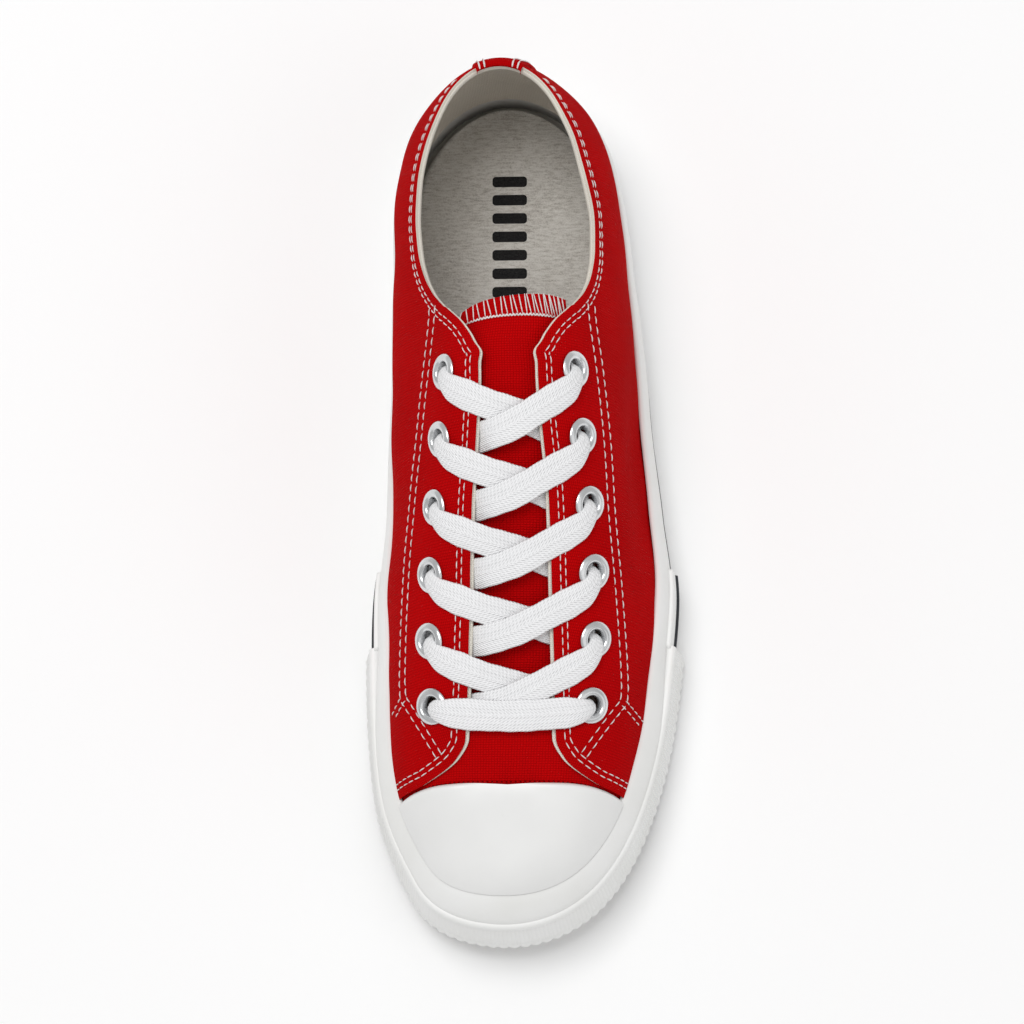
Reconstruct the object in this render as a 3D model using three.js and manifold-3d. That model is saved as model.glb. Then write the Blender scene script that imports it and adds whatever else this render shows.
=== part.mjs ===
// Canvas sneaker, low cut, left shoe, about EU size 38, laced and empty.
// Millimetres, +Z up: toe at -Y, heel at +Y, outer side of the foot at +X.
// The origin is on the ground, under the middle of the sole's outline.
//
// Upper, rubber bands, toe cap, heel strip, tongue and laces all lie on one form, the last.
// section() gives a point of that form, grown or shrunk by a distance called out.

import * as THREE from 'three';
import { mergeVertices } from 'three/addons/utils/BufferGeometryUtils.js';
import Module from 'manifold-3d';

const wasm = await Module();
wasm.setup();

// Driving sizes of the last and the collar
const LAST_LENGTH = 256.5;
const BALL_WIDTH = 86;
const INSTEP_HEIGHT = 92;
const COLLAR_HEIGHT = 76;
const TOE_SPRING = 9;
const ARCH_RISE = 1.5;

// Driving sizes of the sole
const SOLE_THICKNESS = 6.2;
const TREAD_DEPTH = 1.6;
const TREAD_WIDTH = 2.4;
const TREAD_PITCH = 11;
const TREAD_RIM = 7;
const TREAD_POINT = 4;
const PAD_RADIUS = 12;
const INSOLE_THICKNESS = 6;
const INSOLE_CROWN = 0.8;

// Driving sizes of the rubber bands round the side
const FOXING_HEIGHT = 28;
const FOXING_WALL = 2.5;
const FOXING_EDGE = 0.6;
const BAND_LIFT = 1;
const STRIP_HEIGHT = 22;
const STRIP_WALL = 1;
const BUMPER_HEIGHT = 21;
const BUMPER_WALL = 1.5;
const BEAD_HEIGHT = 2.4;
const RIB_DEPTH = 0.7;
const RIB_PITCH = 5;

// Driving sizes of the upper and what lies on it
const UPPER_WALL = 2.4;
const VAMP_STEP = 1.1;
const CAP_WALL = 1.5;
const HEEL_STRIP_WIDTH = 21.6;
const HEEL_STRIP_WALL = 1;
const TONGUE_WALL = 2;
const TONGUE_SKEW = 3.3;
const TONGUE_LIFT = 1.6;

// Driving sizes of the lacing
const EYELET_ROWS = 6;
const EYELET_PITCH = 18.8;
const EYELET_BORE = 5.8;
const EYELET_WALL = 0.6;
const FLANGE_WIDTH = 2;
const FLANGE_HEIGHT = 0.9;
const LACE_WIDTH = 9;
const LACE_THICKNESS = 1.1;
const LACE_SAG = 2.4;

// Clearance between pieces that touch, and how finely the form is divided
const CLEARANCE = 0.3;
const STATION_STEPS = 32;
const LEVEL_STEPS = 9;
const MERGE = 0.001;
const SEARCH_TURNS = 30;
const PLAN_TURNS = 8;
const FINE_STEPS = 400;

// Sections of the last from heel to toe. A place is a share of the last's length. Half
// breadths, bulges and the axis are shares of the ball width, and the ridge is a share of
// the instep's height. The fullness is the exponent of the section's rounded outline.
const SECTION_COLUMNS = [
  'place', 'medial', 'lateral', 'medialBulge', 'lateralBulge', 'axis', 'ridge', 'fullness',
];
const SECTIONS = [
  [0.00, 0.635, 0.665, 0.023, 0.023, -0.058, 1.040, 2.2],
  [0.06, 0.605, 0.635, 0.030, 0.030, -0.058, 1.040, 2.2],
  [0.14, 0.527, 0.547, 0.046, 0.038, -0.056, 1.035, 2.2],
  [0.26, 0.433, 0.467, 0.053, 0.031, -0.041, 1.022, 2.2],
  [0.40, 0.411, 0.440, 0.056, 0.017, -0.017, 0.990, 2.2],
  [0.52, 0.427, 0.473, 0.029, 0.006, -0.015, 0.886, 2.2],
  [0.62, 0.476, 0.526, 0.009, 0.000, -0.019, 0.772, 2.2],
  [0.70, 0.510, 0.539, 0.000, 0.000, -0.021, 0.690, 2.3],
  [0.78, 0.552, 0.565, 0.000, 0.000, -0.026, 0.614, 2.5],
  [0.86, 0.612, 0.601, 0.000, 0.000, -0.033, 0.549, 2.7],
  [0.93, 0.664, 0.651, 0.000, 0.000, -0.042, 0.500, 2.9],
  [1.00, 0.860, 0.740, 0.000, 0.000, -0.058, 0.457, 3.0],
];

// The ends of the last are domes: higher levels lie further in, by these shares of its length
const HEEL_DOME = 0.094;
const TOE_DOME = 0.109;
const DOME_FADE = 0.13;
const BULGE_TOP = 0.8;
const SPRING_START = 0.7;
const ARCH_FROM = 0.27;
const ARCH_TO = 0.5;

// The collar's edge seen from the side: places along the last, heights as shares of the collar's
const COLLAR_COLUMNS = ['place', 'height'];
const COLLAR = [
  [0.03, 1.000], [0.08, 0.993], [0.12, 0.941], [0.17, 0.888], [0.21, 0.862], [0.245, 0.875],
  [0.28, 0.928], [0.305, 0.993], [0.33, 1.079], [0.35, 1.138], [0.368, 1.170], [0.38, 1.190],
  [0.39, 1.250],
];
const COLLAR_STEPS = 18;

// The throat between the facings, seen from above: half its width as a share of the ball width
const THROAT_COLUMNS = ['place', 'half'];
const THROAT = [[0.33, 0.100], [0.41, 0.100], [0.56, 0.131], [0.70, 0.143], [0.81, 0.153]];
const THROAT_BASE = 0.8;
const THROAT_OVERRUN = 0.02;

// The front edges of the quarters, from the throat out to the foxing
const QUARTER_FRONT = [[0.81, 0.153], [0.832, 0.186], [0.853, 0.272], [0.867, 0.384], [0.88, 0.700]];
const CAP_REAR = 0.863;
const CAP_SWEEP = 0.011;
const CAP_SWEEP_AT = 0.384;
const CAP_SWEEP_END = 1.2;
const CAP_STEPS = 11;

// The tongue's half width as a share of the ball width, and the eyelets' distance from the axis
const TONGUE_COLUMNS = ['place', 'half'];
const TONGUE = [[0.33, 0.140], [0.345, 0.165], [0.40, 0.225], [0.60, 0.270], [0.84, 0.240]];
const TONGUE_SINKS = [0.8, 0.74];
const TONGUE_FREE = 0.35;
const TONGUE_STEPS = 20;
const TONGUE_ACROSS = [-1, -0.6, 0, 0.6, 1];
const EYELET_FIRST = 0.405;
const EYELET_HALF = [0.223, 0.243, 0.264, 0.279, 0.284, 0.272];
const HEEL_STRIP_COLUMNS = [1, 0.66, 0.33, 0];
const HEEL_STRIP_LEVELS = [0, 0.2, 0.4, 0.6, 0.8, 1];
const STRIP_FROM = 0.588;
const BUMPER_FROM = 0.675;
const TREAD_ZONES = [[0.04, 0.26], [0.48, 0.95]];
const PAD_PLACES = [0.15, 0.64];
const PAD_SIDES = 24;

// A smooth curve through points, without overshoot
function smoothCurve(xs, ys) {
  const slopes = xs.slice(1).map((x, i) => (ys[i + 1] - ys[i]) / (x - xs[i]));
  const tangents = xs.map((_, i) => {
    if (i === 0) return slopes[0];
    if (i === slopes.length) return slopes[i - 1];
    if (slopes[i - 1] * slopes[i] <= 0) return 0;
    return 2 / (1 / slopes[i - 1] + 1 / slopes[i]);
  });
  return (x) => {
    const at = THREE.MathUtils.clamp(x, xs[0], xs[xs.length - 1]);
    const i = Math.max(0, xs.findIndex((end) => end >= at) - 1);
    const step = xs[i + 1] - xs[i];
    const u = (at - xs[i]) / step;
    const rise = u * u * (3 - 2 * u);
    const bend = step * u * (1 - u) * ((1 - u) * tangents[i] - u * tangents[i + 1]);
    return ys[i] + (ys[i + 1] - ys[i]) * rise + bend;
  };
}

// One smooth curve for each named column of a table, over its first column
function curves(columns, rows) {
  const places = rows.map((row) => row[0]);
  const pairs = columns.slice(1).map((name, i) => [
    name, smoothCurve(places, rows.map((row) => row[i + 1])),
  ]);
  return Object.fromEntries(pairs);
}

const last = curves(SECTION_COLUMNS, SECTIONS);
const collar = curves(COLLAR_COLUMNS, COLLAR);
const throat = curves(THROAT_COLUMNS, THROAT);
const tongueForm = curves(TONGUE_COLUMNS, TONGUE);

// How far the layers at the heel and at the toe stand out from the last
const FOXING_OUT = CLEARANCE + FOXING_WALL;
const STRIP_OUT = FOXING_OUT + CLEARANCE + STRIP_WALL;
const BUMPER_OUT = STRIP_OUT + CLEARANCE + BUMPER_WALL + RIB_DEPTH;
const HEEL_Y = (LAST_LENGTH + BUMPER_OUT - FOXING_OUT) / 2;

// Stations run along the last by an angle, 0 at the heel and PI at the toe, so that they
// lie closer together at its ends
const STATIONS = Array.from({ length: STATION_STEPS + 1 }, (_, i) => (Math.PI * i) / STATION_STEPS);
const LEVELS = Array.from({ length: LEVEL_STEPS + 1 }, (_, i) => i / LEVEL_STEPS);
const PLATE_ACROSS = [-1, -0.5, 0, 0.5, 1];
const placeOf = (theta) => (1 - Math.cos(theta)) / 2;
const thetaOf = (place) => Math.acos(1 - 2 * place);
const alongY = (place) => HEEL_Y - place * LAST_LENGTH;
const placeAtY = (y) => (HEEL_Y - y) / LAST_LENGTH;
const halfBreadth = (place, side) => (side > 0 ? last.lateral : last.medial)(place) * BALL_WIDTH;
const halfBulge = (place, side) => (side > 0 ? last.lateralBulge : last.medialBulge)(place) * BALL_WIDTH;

// The axis is shifted so that the widest layers lie evenly about the origin
const reach = (side) => Math.max(...STATIONS.map((theta) => {
  const place = placeOf(theta);
  const out = place > BUMPER_FROM ? BUMPER_OUT : STRIP_OUT;
  return side * last.axis(place) * BALL_WIDTH + Math.sin(theta) * (halfBreadth(place, side) + out);
}));
const AXIS_SHIFT = (reach(-1) - reach(1)) / 2;
const axisX = (place) => last.axis(place) * BALL_WIDTH + AXIS_SHIFT;

function spring(place) {
  return TOE_SPRING * Math.max(0, (place - SPRING_START) / (1 - SPRING_START)) ** 2;
}

function arch(place) {
  const u = THREE.MathUtils.clamp((place - ARCH_FROM) / (ARCH_TO - ARCH_FROM), 0, 1);
  return (ARCH_RISE * (1 - Math.cos(2 * Math.PI * u))) / 2;
}

// The last stands on the sole, and its ridge is the line along its top
const baseZ = (place) => SOLE_THICKNESS + CLEARANCE + spring(place);
const ridgeZ = (place) => last.ridge(place) * INSTEP_HEIGHT;
const foxingTop = (place) => FOXING_HEIGHT + spring(place);
const collarZ = (place) => collar.height(place) * COLLAR_HEIGHT;

// Share of the half breadth that is left at a share of the height, and the other way round
const narrowAt = (rise, fullness) => (1 - rise ** fullness) ** (1 / fullness);

// A point of the last: rise is 0 at its lower edge and 1 at the ridge
function section(theta, side, rise, out) {
  const place = placeOf(theta);
  const narrow = narrowAt(rise, last.fullness(place));
  const swell = (1 - Math.cos(2 * Math.PI * Math.min(rise / BULGE_TOP, 1))) / 2;
  const push = out * narrow + halfBulge(place, side) * swell;
  const toeDome = TOE_DOME * Math.exp((place - 1) / DOME_FADE);
  const heelDome = HEEL_DOME * Math.exp(-place / DOME_FADE);
  const x = side * Math.sin(theta) * (halfBreadth(place, side) * narrow + push);
  const y = (1 - narrow) * (toeDome - heelDome) * LAST_LENGTH + Math.cos(theta) * push;
  const z = (ridgeZ(place) - baseZ(place) + out) * rise;
  return new THREE.Vector3(axisX(place) + x, alongY(place) + y, baseZ(place) + z);
}

// The point of the last's side at a height
function sideAt(theta, side, z, out) {
  const place = placeOf(theta);
  const rise = (z - baseZ(place)) / (ridgeZ(place) - baseZ(place) + out);
  return section(theta, side, THREE.MathUtils.clamp(rise, 0, 1), out).setZ(z);
}

// The point of the last under a place in the plan, found in a few steps
function topAt(x, y, out) {
  let place = placeAtY(y);
  let swell = 0;
  let point;
  for (let turn = 0; turn < PLAN_TURNS; turn += 1) {
    const side = x > axisX(place) ? 1 : -1;
    const theta = thetaOf(place);
    const fullness = last.fullness(place);
    const span = Math.abs(x - axisX(place)) / Math.sin(theta) - swell;
    const narrow = THREE.MathUtils.clamp(span / (halfBreadth(place, side) + out), 0, 1);
    const rise = narrowAt(narrow, fullness);
    swell = (halfBulge(place, side) * (1 - Math.cos(2 * Math.PI * Math.min(rise / BULGE_TOP, 1)))) / 2;
    point = section(theta, side, rise, out);
    place = THREE.MathUtils.clamp(place + (point.y - y) / LAST_LENGTH, MERGE, 1 - MERGE);
  }
  return new THREE.Vector3(x, y, point.z);
}

// A closed geometry from points and triangles: shared points are merged, triangles that
// have shrunk to a line are dropped, and the faces are turned outwards
function closedGeometry(positions, index) {
  const loose = new THREE.BufferGeometry();
  loose.setAttribute('position', new THREE.Float32BufferAttribute(positions, 3));
  loose.setIndex(index);
  const geometry = mergeVertices(loose, MERGE);
  const corners = Array.from(geometry.index.array);
  const point = (i) => new THREE.Vector3().fromBufferAttribute(geometry.attributes.position, i);
  const kept = [];
  let volume = 0;
  for (let i = 0; i < corners.length; i += 3) {
    const [a, b, c] = corners.slice(i, i + 3);
    if (a !== b && b !== c && c !== a) {
      kept.push([a, b, c]);
      volume += point(a).dot(point(b).cross(point(c)));
    }
  }
  geometry.setIndex(kept.flatMap((face) => (volume < 0 ? face.reverse() : face)));
  return geometry;
}

// A solid through rings of points. Each ring lists one face of the piece and then its other
// face backwards, so that the ends close by pairs. A loop has no ends, and an open seam is
// left where a piece meets its own other half.
function loft(rings, { loop = false, openSeam = false } = {}) {
  const size = rings[0].length;
  const index = [];
  const quad = (a, b, c, d) => index.push(a, b, c, a, c, d);
  const count = loop ? rings.length : rings.length - 1;
  for (let i = 0; i < count; i += 1) {
    const here = i * size;
    const next = ((i + 1) % rings.length) * size;
    for (let j = 0; j < size; j += 1) {
      const k = (j + 1) % size;
      if (!(openSeam && k === size / 2)) quad(here + j, next + j, next + k, here + k);
    }
  }
  if (!loop) {
    const end = (rings.length - 1) * size;
    for (let j = 0; j < size / 2 - 1; j += 1) {
      quad(j, j + 1, size - 2 - j, size - 1 - j);
      quad(end + size - 1 - j, end + size - 2 - j, end + j + 1, end + j);
    }
  }
  return closedGeometry(rings.flat().flatMap((p) => [p.x, p.y, p.z]), index);
}

function toManifold(geometry) {
  const bare = geometry.clone();
  bare.deleteAttribute('normal');
  bare.deleteAttribute('uv');
  const merged = mergeVertices(bare, MERGE);
  return new wasm.Manifold(new wasm.Mesh({
    numProp: 3,
    vertProperties: new Float32Array(merged.attributes.position.array),
    triVerts: new Uint32Array(merged.index.array),
  }));
}

function toGeometry(manifold) {
  const { vertProperties, triVerts } = manifold.getMesh();
  return closedGeometry(Array.from(vertProperties), Array.from(triVerts));
}

const union = (solids) => solids.reduce((all, solid) => all.add(solid));

// A path round the whole last, from the heel along the outer side and back along the inner one
const ROUND = [
  ...STATIONS.map((theta) => ({ theta, side: 1 })),
  ...STATIONS.slice(1, -1).reverse().map((theta) => ({ theta, side: -1 })),
];

// A path round the toe alone, between equal places on both sides, over the same stations
// as the rest unless it gives its own number of steps
function roundToe(from, steps) {
  const start = thetaOf(from);
  const angles = steps
    ? Array.from({ length: steps + 1 }, (_, i) => start + ((Math.PI - start) * i) / steps)
    : [start, ...STATIONS.filter((theta) => theta > start + MERGE)];
  return [
    ...angles.map((theta) => ({ theta, side: 1 })),
    ...angles.slice(0, -1).reverse().map((theta) => ({ theta, side: -1 })),
  ];
}

// A path round the toe with evenly spaced stations, for ribs
function evenRoundToe(from, spacing) {
  const fine = roundToe(from, FINE_STEPS);
  const points = fine.map(({ theta, side }) => sideAt(theta, side, 0, BUMPER_OUT));
  const lengths = [0];
  points.slice(1).forEach((point, i) => lengths.push(lengths[i] + point.distanceTo(points[i])));
  const total = lengths[lengths.length - 1];
  const count = 2 * Math.round(total / spacing / 2);
  return Array.from({ length: count + 1 }, (_, i) => {
    const at = lengths.findIndex((length) => length >= (total * i) / count - MERGE);
    return fine[at];
  });
}

// The whole last as a closed body, standing from a height below its lower edge
function lastBody(out, drop) {
  const rings = STATIONS.map((theta) => {
    const half = (side) => {
      const low = section(theta, side, 0, out);
      const foot = low.clone().setZ(low.z - drop);
      return [foot, ...LEVELS.map((t) => section(theta, side, levelRise(t, placeOf(theta)), out))];
    };
    return [...half(1), ...half(-1).reverse()];
  });
  return loft(rings);
}

// A prism with its outline in the plan, between two heights
function planPrism(outline, low, high) {
  const shape = new THREE.Shape(outline.map(([x, y]) => new THREE.Vector2(x, y)));
  return new THREE.ExtrudeGeometry(shape, { depth: high - low, bevelEnabled: false }).translate(0, 0, low);
}

// A prism with its outline in the side view, right across the shoe
function sidePrism(outline) {
  const shape = new THREE.Shape(outline.map(([y, z]) => new THREE.Vector2(y, z)));
  const prism = new THREE.ExtrudeGeometry(shape, { depth: 2 * BALL_WIDTH, bevelEnabled: false });
  const axes = new THREE.Matrix4().makeBasis(
    new THREE.Vector3(0, 1, 0),
    new THREE.Vector3(0, 0, 1),
    new THREE.Vector3(1, 0, 0),
  );
  return prism.applyMatrix4(axes).translate(-BALL_WIDTH, 0, 0);
}

// A turned ring set on the last at a point, with its axis along the last's normal there
function placeOnLast(geometry, x, y) {
  const nudge = 0.5;
  const origin = topAt(x, y, 0);
  const across = topAt(x + nudge, y, 0).sub(topAt(x - nudge, y, 0)).normalize();
  const along = topAt(x, y + nudge, 0).sub(topAt(x, y - nudge, 0)).normalize();
  const normal = across.clone().cross(along).normalize();
  const basis = new THREE.Matrix4().makeBasis(normal.clone().cross(along).normalize(), normal, along);
  return geometry.clone().applyMatrix4(basis.setPosition(origin));
}

function outlineAt(out) {
  return ROUND.map(({ theta, side }) => {
    const point = section(theta, side, 0, out);
    return [point.x, point.y];
  });
}

// A plate that fills the last's outline between two heights, in strips across the shoe
function plate(out, lowZ, highZ, crown) {
  const rings = STATIONS.map((theta) => {
    const place = placeOf(theta);
    const row = (z, bow) => {
      const ends = [-1, 1].map((side) => sideAt(theta, side, z, out));
      return PLATE_ACROSS.map((u) => ends[0].clone().lerp(ends[1], (u + 1) / 2).setZ(z + bow * (1 - u * u)));
    };
    return [...row(lowZ(place), 0), ...row(highZ(place), crown * Math.sin(theta)).reverse()];
  });
  return loft(rings);
}

// A band round the last: profile gives its outer face and its inner face from the bottom up
function band(path, profile, options) {
  return loft(path.map(({ theta, side }, i) => {
    const [outer, inner] = profile(placeOf(theta), i);
    const points = (face) => face.map(([out, z]) => sideAt(theta, side, z, out));
    return [...points(outer), ...points(inner).reverse()];
  }), options);
}

// Outsole: a flat bottom from heel to ball with grooves in zigzag, and two plain pads
function treadGrooves() {
  const grooves = TREAD_ZONES.flatMap(([from, to]) => {
    const count = Math.round(((to - from) * LAST_LENGTH) / TREAD_PITCH);
    return Array.from({ length: count }, (_, i) => from + ((to - from) * (i + 0.5)) / count);
  }).map((place) => {
    const y = alongY(place);
    const half = TREAD_WIDTH / 2;
    const tip = TREAD_POINT / 2;
    const ends = 2 * TREAD_POINT - tip;
    const x = axisX(place);
    const outline = [
      [x, y - tip - half], [x + BALL_WIDTH, y + ends - half], [x + BALL_WIDTH, y + ends + half],
      [x, y - tip + half], [x - BALL_WIDTH, y + ends + half], [x - BALL_WIDTH, y + ends - half],
    ];
    return toManifold(planPrism(outline, -TREAD_DEPTH, spring(place) + TREAD_DEPTH));
  });
  const inside = toManifold(planPrism(outlineAt(-TREAD_RIM), -TREAD_DEPTH, COLLAR_HEIGHT));
  const pads = PADS.map(({ x, y }) => {
    const pad = new THREE.CylinderGeometry(PAD_RADIUS, PAD_RADIUS, 4 * SOLE_THICKNESS, PAD_SIDES);
    return toManifold(pad.rotateX(Math.PI / 2).translate(x, y, 0));
  });
  return union(grooves).intersect(inside).subtract(union(pads));
}

// The two flat spots that the shoe stands on, under the heel and under the ball
const PADS = PAD_PLACES.map((place) => ({ x: axisX(place), y: alongY(place) }));

function outsole() {
  const low = (place) => spring(place) + arch(place);
  const high = (place) => SOLE_THICKNESS + spring(place);
  return toGeometry(toManifold(plate(0, low, high, 0)).subtract(treadGrooves()));
}

function insole() {
  const low = (place) => SOLE_THICKNESS + CLEARANCE + spring(place);
  const high = (place) => low(place) + INSOLE_THICKNESS;
  return plate(-UPPER_WALL - CLEARANCE, low, high, INSOLE_CROWN);
}

// The levels at which the upper and every band bend, so that each fits the one inside it
const levelRise = (t, place) => (t < 1 ? Math.sin((Math.PI * t) / 2) ** (2 / last.fullness(place)) : 1);
const bendAt = (level, place) => baseZ(place) + levelRise(LEVELS[level], place) * (ridgeZ(place) - baseZ(place));
const bandLevels = (place) => [BAND_LIFT + spring(place), baseZ(place), bendAt(1, place)];

// Foxing: the rubber band round the whole side, from just off the ground up over the upper
function foxing() {
  return band(ROUND, (place) => {
    const [low, base, bend] = bandLevels(place);
    const high = foxingTop(place);
    const outer = [[FOXING_OUT - FOXING_EDGE, low], [FOXING_OUT, base], [FOXING_OUT, bend],
      [FOXING_OUT, high - FOXING_EDGE], [FOXING_OUT - FOXING_EDGE, high]];
    const inner = [low, base, bend, Math.min(bendAt(2, place), high), high];
    return [outer, inner.map((z) => [CLEARANCE, z])];
  }, { loop: true });
}

// Forefoot strip: a second, lower layer of rubber round the forefoot
function forefootStrip() {
  const inside = FOXING_OUT + CLEARANCE;
  return band(roundToe(STRIP_FROM), (place) => {
    const levels = [...bandLevels(place), STRIP_HEIGHT + spring(place)];
    return [levels.map((z) => [STRIP_OUT, z]), levels.map((z) => [inside, z])];
  });
}

// Toe bumper: the outermost layer, with upright ribs under a smooth bead
function toeBumper() {
  const inside = STRIP_OUT + CLEARANCE;
  return band(evenRoundToe(BUMPER_FROM, RIB_PITCH / 2), (place, i) => {
    const [low, base, bend] = bandLevels(place);
    const high = BUMPER_HEIGHT + spring(place);
    const rib = inside + BUMPER_WALL + (i % 2) * RIB_DEPTH;
    const outer = [[rib, low], [rib, base], [rib, high - BEAD_HEIGHT],
      [BUMPER_OUT, high - BEAD_HEIGHT / 2], [inside + BUMPER_WALL, high]];
    return [outer, [low, base, bend, high, high].map((z) => [inside, z])];
  });
}

// Both halves of an outline that is given by places and half widths about the axis
function mirrored(rows) {
  const points = (side) => rows.map(([place, half]) => [
    axisX(place) + side * half * BALL_WIDTH, alongY(place),
  ]);
  return [...points(1), ...points(-1).reverse()];
}

// Upper: one hollow wall, open at the collar, the throat and underneath. The vamp lies a
// step lower than the quarters, whose front edges run from the throat to the foxing.
function upper() {
  const high = 2 * INSTEP_HEIGHT;
  const far = LAST_LENGTH;
  const wall = toManifold(lastBody(0, 0)).subtract(toManifold(lastBody(-UPPER_WALL, SOLE_THICKNESS)));
  const [from, to] = [COLLAR[0][0], COLLAR[COLLAR.length - 1][0]];
  const edge = Array.from({ length: COLLAR_STEPS + 1 }, (_, i) => from + ((to - from) * i) / COLLAR_STEPS)
    .map((place) => [alongY(place), collarZ(place)]);
  const front = edge[edge.length - 1];
  const collarCut = sidePrism([[far, COLLAR_HEIGHT], ...edge, [front[0], high], [far, high]]);
  const throatCut = planPrism(mirrored([...THROAT.slice(0, -1), [THROAT_BASE, throat.half(THROAT_BASE)]]),
    FOXING_HEIGHT, high);
  const [inner, outer] = [QUARTER_FRONT[0][1], QUARTER_FRONT[QUARTER_FRONT.length - 1][1]];
  const ahead = [[THROAT_BASE - THROAT_OVERRUN, inner], ...QUARTER_FRONT, [1 + THROAT_OVERRUN, outer]];
  const vampZone = planPrism(mirrored(ahead), FOXING_HEIGHT - 2 * FOXING_EDGE, high);
  const step = toManifold(lastBody(CAP_WALL, 0))
    .subtract(toManifold(lastBody(-VAMP_STEP, SOLE_THICKNESS)))
    .intersect(toManifold(vampZone));
  const barrel = EYELET_BORE / 2 + EYELET_WALL + CLEARANCE;
  const punch = new THREE.CylinderGeometry(
    barrel / Math.cos(Math.PI / EYELET_SIDES), barrel / Math.cos(Math.PI / EYELET_SIDES),
    4 * UPPER_WALL, EYELET_SIDES,
  );
  const holes = EYELETS.map(({ x, y }) => toManifold(placeOnLast(punch, x, y)));
  return toGeometry(wall.subtract(toManifold(collarCut)).subtract(toManifold(throatCut))
    .subtract(step).subtract(union(holes)));
}

const EYELET_SIDES = 10;
const EYELETS = Array.from({ length: EYELET_ROWS }, (_, row) => {
  const y = alongY(EYELET_FIRST) - row * EYELET_PITCH;
  const half = EYELET_HALF[Math.min(row, EYELET_HALF.length - 1)] * BALL_WIDTH;
  return [-1, 1].map((side) => ({ side, row, y, x: axisX(placeAtY(y)) + side * half }));
}).flat();

// Eyelet: a turned flange on the facing with its barrel through the wall
function eyelet({ x, y }) {
  const bore = EYELET_BORE / 2;
  const barrel = bore + EYELET_WALL;
  const flange = barrel + FLANGE_WIDTH;
  const foot = -UPPER_WALL - 2 * CLEARANCE;
  const profile = [
    [bore, foot], [barrel, foot], [barrel, CLEARANCE], [flange, CLEARANCE],
    [barrel, CLEARANCE + FLANGE_HEIGHT], [bore, foot],
  ].map(([radius, height]) => new THREE.Vector2(radius, height));
  const ring = new THREE.LatheGeometry(profile, EYELET_SIDES);
  const turned = closedGeometry(Array.from(ring.attributes.position.array), Array.from(ring.index.array));
  return placeOnLast(turned, x, y);
}

// Toe cap: a rubber shell over the front of the vamp, from its rear edge to the foxing
function toeCap() {
  const lower = -VAMP_STEP + 2.5 * CLEARANCE;
  const shell = (theta, side, up, out) => {
    const place = placeOf(theta);
    const fullness = last.fullness(place);
    const low = (foxingTop(place) + CLEARANCE - baseZ(place)) / (ridgeZ(place) - baseZ(place) + out);
    const start = Math.asin(Math.min(1, low ** (fullness / 2)));
    const angle = start + (Math.PI / 2 - start) * up;
    return section(theta, side, up < 1 ? Math.sin(angle) ** (2 / fullness) : 1, out);
  };
  const rearY = (point) => {
    const away = Math.abs(point.x - axisX(CAP_REAR)) / (CAP_SWEEP_AT * BALL_WIDTH);
    return alongY(CAP_REAR + CAP_SWEEP * Math.min(away, CAP_SWEEP_END) ** 4);
  };
  const rearTheta = (side, up, out) => {
    let near = thetaOf(CAP_REAR - 0.1);
    let far = Math.PI;
    for (let turn = 0; turn < SEARCH_TURNS; turn += 1) {
      const middle = (near + far) / 2;
      const point = shell(middle, side, up, out);
      if (point.y > rearY(point)) near = middle;
      else far = middle;
    }
    return near;
  };
  const levels = LEVELS.filter((_, i) => i % 2 === 1).map((t) => (t - LEVELS[1]) / (1 - LEVELS[1]));
  const path = roundToe(0, CAP_STEPS).map(({ theta, side }) => ({ share: theta / Math.PI, side }));
  const rings = path.map(({ share, side }) => {
    const face = (out) => levels.map((up) => {
      const start = rearTheta(side, up, lower + CAP_WALL / 2);
      return shell(start + (Math.PI - start) * share, side, up, out);
    });
    return [...face(lower + CAP_WALL), ...face(lower).reverse()];
  });
  return loft(rings, { openSeam: true });
}

// Heel strip: the narrow band up the back seam, from the foxing to the collar's edge
function heelStrip() {
  const end = Math.asin(HEEL_STRIP_WIDTH / 2 / halfBreadth(0, 1));
  const angles = HEEL_STRIP_COLUMNS;
  const path = [
    ...angles.map((share) => ({ theta: share * end, side: 1 })),
    ...angles.slice(0, -1).reverse().map((share) => ({ theta: share * end, side: -1 })),
  ];
  return band(path, () => {
    const low = FOXING_HEIGHT + CLEARANCE;
    const levels = HEEL_STRIP_LEVELS.map((share) => low + (COLLAR_HEIGHT - low) * share);
    return [CLEARANCE + HEEL_STRIP_WALL, CLEARANCE].map((out) => levels.map((z) => [out, z]));
  });
}

// Tongue: a curved tab under the facings, fixed under the vamp and free at its top. There is
// room for a lace between it and the facings.
function tongue() {
  const seated = -UPPER_WALL - 2 * CLEARANCE;
  const sunk = seated - LACE_THICKNESS - CLEARANCE;
  const [sinkFrom, sinkTo] = TONGUE_SINKS;
  const [top, bottom] = [TONGUE[0][0], TONGUE[TONGUE.length - 1][0]];
  const rings = Array.from({ length: TONGUE_STEPS + 1 }, (_, i) => {
    const place = bottom + ((top - bottom) * i) / TONGUE_STEPS;
    const half = tongueForm.half(place) * BALL_WIDTH;
    const free = THREE.MathUtils.clamp((TONGUE_FREE - place) / (TONGUE_FREE - top), 0, 1);
    const out = seated + (sunk - seated) * THREE.MathUtils.smoothstep(-place, -sinkFrom, -sinkTo);
    const face = (depth) => TONGUE_ACROSS.map((u) => {
      const x = axisX(place) + u * half;
      const point = topAt(x, alongY(place), depth);
      return point.add(new THREE.Vector3(0, TONGUE_SKEW * u * free, TONGUE_LIFT * free * free));
    });
    return [...face(out), ...face(out - TONGUE_WALL).reverse()];
  });
  return loft(rings);
}

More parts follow.
